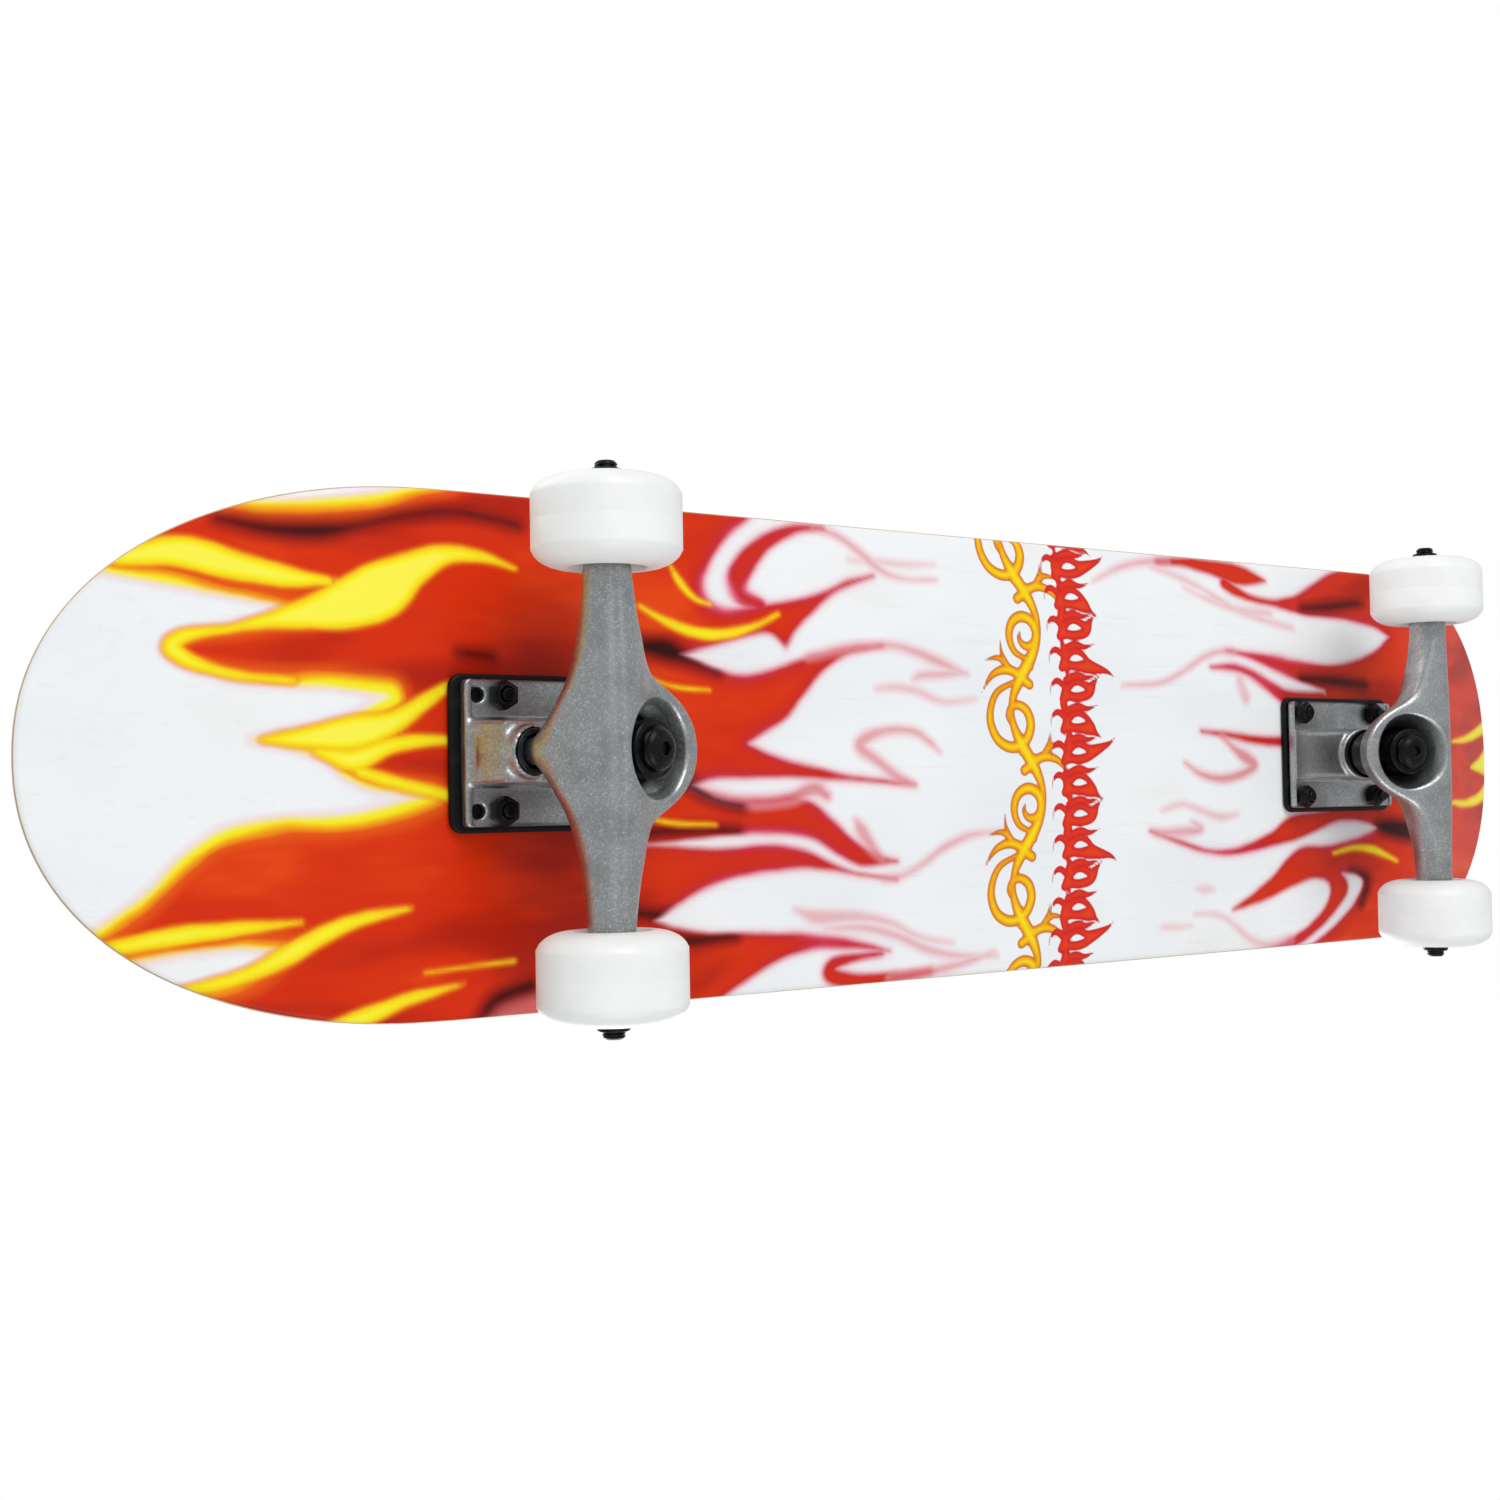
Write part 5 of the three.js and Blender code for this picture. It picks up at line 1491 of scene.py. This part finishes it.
def lock_nut_shape(flats, bore, low, shoulder, high, collar):
    """A nut with chamfered corners and a drawn-in locking collar."""
    corner = flats / math.sqrt(3)
    chamfer = corner - flats / 2
    steps = np.linspace(0, 1, 5)
    lower = [(flats / 2 - 0.2 + (chamfer + 0.2) * s, low + 0.5 * chamfer * s) for s in steps]
    upper = [(flats / 2 - 0.2 + (chamfer + 0.2) * s, shoulder - 0.5 * chamfer * s) for s in steps[::-1]]
    top = soften([
        upper[-1], (collar + 0.3, shoulder), (collar, shoulder + 0.4), (collar, high - 0.5),
        (collar - 0.5, high), (bore + 0.3, high), (bore, high - 0.3),
    ], 0.25, 2)
    return closed_ring([(bore, low + 0.3), (bore + 0.3, low), *lower, *upper, *top[1:]], 96, flats=flats)


def bolt_nut_shape():
    return lock_nut_shape(9.5, BOLT_RADIUS + 0.15, 0, 3.4, 5.0, 3.9)


def axle_nut_shape():
    return lock_nut_shape(12.7, AXLE_RADIUS + 0.15, 12.9, 16.8, 18.4, 5.7)


def speed_washer_shape(low, high):
    return closed_ring(ring_profile(4.3, 6.3, low, high, 0.15), 48)


def bolt_mesh():
    """A countersunk machine screw with a cross recess, its thread showing below the nut."""
    top = DECK_TOP + 0.6
    end = 66.4
    pitch = 0.8
    thread_top = 73.0
    shank = [(BOLT_RADIUS, h) for h in rows(end + 0.4, thread_top, pitch / 6)]
    profile = [(0, end), (1.9, end), *shank, (BOLT_RADIUS, top - 2.9), (BOLT_HEAD_RADIUS, top - 0.5),
               (BOLT_HEAD_RADIUS, top - 0.25), (BOLT_HEAD_RADIUS - 0.3, top), (0, top)]
    body = build_mesh("bolt", *spin(profile, 48, thread=(end, thread_top, pitch, 0.28)))
    points, faces = spin([(0, top - 1.7), (0.9, top - 1.7), (2.3, top + 1), (0, top + 1)], 4)
    wedge = turned(points, 45) * np.array([1.35, 0.42, 1])
    tools = [(turned(wedge, angle), faces) for angle in (0, 90)]
    return cut_away(body, tools)


# ---- Assembly of the trucks ----

def to_board(points, end):
    """Points of a truck's frame, in metres, moved to the front or rear end of the board."""
    return (points + np.array([TRUCK_X, 0, 0])) * np.array([end, end, 1])


def truck_piece(name, shape, end, look, body, replaces, sharp_deg=40):
    points, faces = shape
    mesh = build_mesh(name, to_board(points, end), faces, sharp_deg)
    piece = add_piece(name, mesh, [look], replaces)
    if body:
        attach(piece, body)
    return piece


def add_bushings(prefix, end):
    """The bushings between the kingpin's washers, which stay with the deck, and the hanger; each is a piece
    of its own, attached to neither.
    """
    for side, shape, deck_up, hanger_up in (
        ("deck_side", deck_bushing_shape(), DECK_BUSHING[1], DECK_BUSHING[0]),
        ("road_side", road_bushing_shape(), ROAD_BUSHING[0], ROAD_BUSHING[1]),
    ):
        name = f"{prefix}_{side}"
        piece = truck_piece(f"{name}_urethane", shape, end, "black_urethane", None, [f"{name}_bushing"])
        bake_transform(piece)


def wheel_set():
    """A wheel's pieces: name, shape, look, body, the ends of their CAD nodes' names, sharp angle."""
    outer_race, outer_shield = bearing_shapes(1)
    inner_race, inner_shield = bearing_shapes(-1)
    return [
        ("urethane", wheel_shape(), "white_urethane", "wheel", ["wheel"], 50),
        ("outer_race", outer_race, "bright_steel", "wheel", ["outer_bearing"], 40),
        ("outer_shield", outer_shield, "shield", "wheel", [], 40),
        ("inner_race", inner_race, "bright_steel", "wheel", ["inner_bearing"], 40),
        ("inner_shield", inner_shield, "shield", "wheel", [], 40),
        ("inner_races", sleeve_shape(), "bright_steel", "truck", ["bearing_sleeve"], 40),
        ("lock_nut", axle_nut_shape(), "black_steel", "truck", ["axle_nut"], 40),
        ("outer_speed_washer", speed_washer_shape(11.95, 12.8), "bright_steel", "truck", [], 40),
        ("inner_speed_washer", speed_washer_shape(-12.85, -12.0), "bright_steel", "truck", [], 40),
    ]


def truck_set():
    """The pieces down the middle of a truck: name, shape, look, body, CAD node's name, sharp angle."""
    hanger = net(hanger_distance, (-34, -66, 11), (33, 66, 65), 0.8)
    baseplate = net(baseplate_distance, (-35, -27.5, 46), (43, 27.5, 77.5), 0.7)
    riser = net(riser_distance, (-36.5, -29.5, 75.5), (47, 29.5, 80.5), 0.7)
    deck_washer = washer_shape(DECK_WASHER, 12, False)
    road_washer = washer_shape(ROAD_WASHER, 10.8, True)
    return [
        ("riser", riser, "rubber", "deck", "riser_pad", 50),
        ("base_casting", baseplate, "cast", "deck", "baseplate", 60),
        ("cup", pivot_cup_shape(), "black_urethane", "deck", "pivot_cup", 40),
        ("kingpin_bolt", kingpin_shape(), "black_steel", "deck", "kingpin", 30),
        ("domed_nut", domed_nut_shape(), "black_steel", "deck", "kingpin_nut", 30),
        ("deck_side_cup_washer", deck_washer, "black_steel", "deck", "deck_side_washer", 40),
        ("road_side_cup_washer", road_washer, "black_steel", "deck", "road_side_washer", 40),
        ("hanger_casting", hanger, "cast", "truck", "hanger", 60),
        ("threaded_axle", axle_shape(), "black_steel", "truck", "axle", 60),
    ]


def add_truck(prefix, end, truck_pieces, wheel_pieces, screw):
    bodies = {"deck": "deck", "truck": f"{prefix}_truck"}
    for piece, shape, look, rides_on, node, sharp_deg in truck_pieces:
        name = f"{prefix}_{piece}"
        truck_piece(name, shape, end, look, bodies[rides_on], [f"{prefix}_{node}"], sharp_deg)
    add_bushings(prefix, end)
    for side in (1, -1):
        hand = "left" if side * end > 0 else "right"
        name = f"{prefix}_{hand}"
        bodies["wheel"] = f"{name}_wheel"
        centre = (AXLE_OFFSET, side * WHEEL_CENTRE_Y, WHEEL_RADIUS)
        for piece, shape, look, rides_on, nodes, sharp_deg in wheel_pieces:
            there = placed(shape, centre, (0, side, 0))
            replaces = [f"{name}_{node}" for node in nodes]
            truck_piece(f"{name}_{piece}", there, end, look, bodies[rides_on], replaces, sharp_deg)
        for row, along in (("end", 1), ("middle", -1)):
            place = (along * BOLT_HALF_X, side * BOLT_HALF_Y, 0)
            add_truck_bolt(f"{prefix}_{row}_{hand}", place, end, screw)


def add_truck_bolt(name, place, end, screw):
    points, faces = screw
    shape = (points + np.array(place), faces)
    truck_piece(f"{name}_screw", shape, end, "black_steel", "deck", [f"{name}_bolt"], 35)
    nut_place = np.array(place) + np.array([0, 0, CHANNEL_FLOOR - 0.3])
    nut = placed(bolt_nut_shape(), nut_place, (0, 0, -1))
    truck_piece(f"{name}_screw_nut", nut, end, "black_steel", "deck", [f"{name}_bolt_nut"], 30)


def add_trucks():
    bolt = bolt_mesh()
    points = np.array([vertex.co for vertex in bolt.vertices]) / MM
    screw = (points, [list(polygon.vertices) for polygon in bolt.polygons])
    truck_pieces = truck_set()
    wheel_pieces = wheel_set()
    for prefix, end in (("front", 1), ("rear", -1)):
        add_truck(prefix, end, truck_pieces, wheel_pieces, screw)


# ---- Floor, lights and surroundings ----


def add_floor():
    """A pale floor that only shows from above, so that the board's underside can be seen from below."""
    half = 6.0
    mesh = bpy.data.meshes.new("floor")
    corners = [(-half, -half, 0), (half, -half, 0), (half, half, 0), (-half, half, 0)]
    mesh.from_pydata(corners, [], [(0, 1, 2, 3)])
    floor = bpy.data.objects.new("floor", mesh)
    bpy.context.scene.collection.objects.link(floor)
    look = Look("floor_paint", Roughness=0.8)
    speck = look.noise(30, detail=3)
    look.finish(look.ramp(speck, [(0.3, "EDEDEC"), (0.7, "F1F1F0")]))
    sides = look.tree.nodes.new("ShaderNodeNewGeometry")
    clear = look.tree.nodes.new("ShaderNodeBsdfTransparent")
    choose = look.tree.nodes.new("ShaderNodeMixShader")
    output = look.tree.nodes["Material Output"]
    look.tree.links.new(sides.outputs["Backfacing"], choose.inputs[0])
    look.tree.links.new(look.shader.outputs[0], choose.inputs[1])
    look.tree.links.new(clear.outputs[0], choose.inputs[2])
    look.tree.links.new(choose.outputs[0], output.inputs["Surface"])
    mesh.materials.append(look.material)
    for ray in ("diffuse", "glossy", "transmission", "shadow"):
        setattr(floor, f"visible_{ray}", False)


# Soft square lamps: name, place in metres, size in metres, power in watts
LAMPS = [
    ("under_key", (0.4, 1.9, -1.5), 1.4, 30),
    ("under_fill", (0.5, -1.9, -1.3), 1.6, 17),
    ("top_key", (-0.8, -1.2, 2.0), 1.6, 30),
    ("top_fill", (1.2, 1.2, 1.6), 1.6, 14),
]
BOARD_MIDDLE = (0, 0, 0.08)
WORLD_LIGHT = ((0.94, 0.97, 1.0, 1), 0.62)


def add_light(name, place, size, power):
    """A soft square lamp that faces the board's middle."""
    lamp = bpy.data.lights.new(name, "AREA")
    lamp.shape = "SQUARE"
    lamp.size = size
    lamp.energy = power
    light = bpy.data.objects.new(name, lamp)
    light.location = place
    aim = Vector(BOARD_MIDDLE) - Vector(place)
    light.rotation_euler = aim.to_track_quat("-Z", "Y").to_euler()
    bpy.context.scene.collection.objects.link(light)


def set_surroundings():
    """White behind everything, and dimmer white as light on the board."""
    world = bpy.data.worlds.new("studio")
    bpy.context.scene.world = world
    world.use_nodes = True
    tree = world.node_tree
    seen = tree.nodes["Background"]
    seen.inputs["Color"].default_value = (1, 1, 1, 1)
    seen.inputs["Strength"].default_value = 1.0
    cast = tree.nodes.new("ShaderNodeBackground")
    cast.inputs["Color"].default_value, cast.inputs["Strength"].default_value = WORLD_LIGHT
    path = tree.nodes.new("ShaderNodeLightPath")
    choose = tree.nodes.new("ShaderNodeMixShader")
    tree.links.new(path.outputs["Is Camera Ray"], choose.inputs[0])
    tree.links.new(cast.outputs[0], choose.inputs[1])
    tree.links.new(seen.outputs[0], choose.inputs[2])
    tree.links.new(choose.outputs[0], tree.nodes["World Output"].inputs["Surface"])


add_deck()
add_grip_tape()
add_trucks()
add_floor()
for lamp_settings in LAMPS:
    add_light(*lamp_settings)
set_surroundings()
bpy.context.scene.view_settings.view_transform = "Standard"
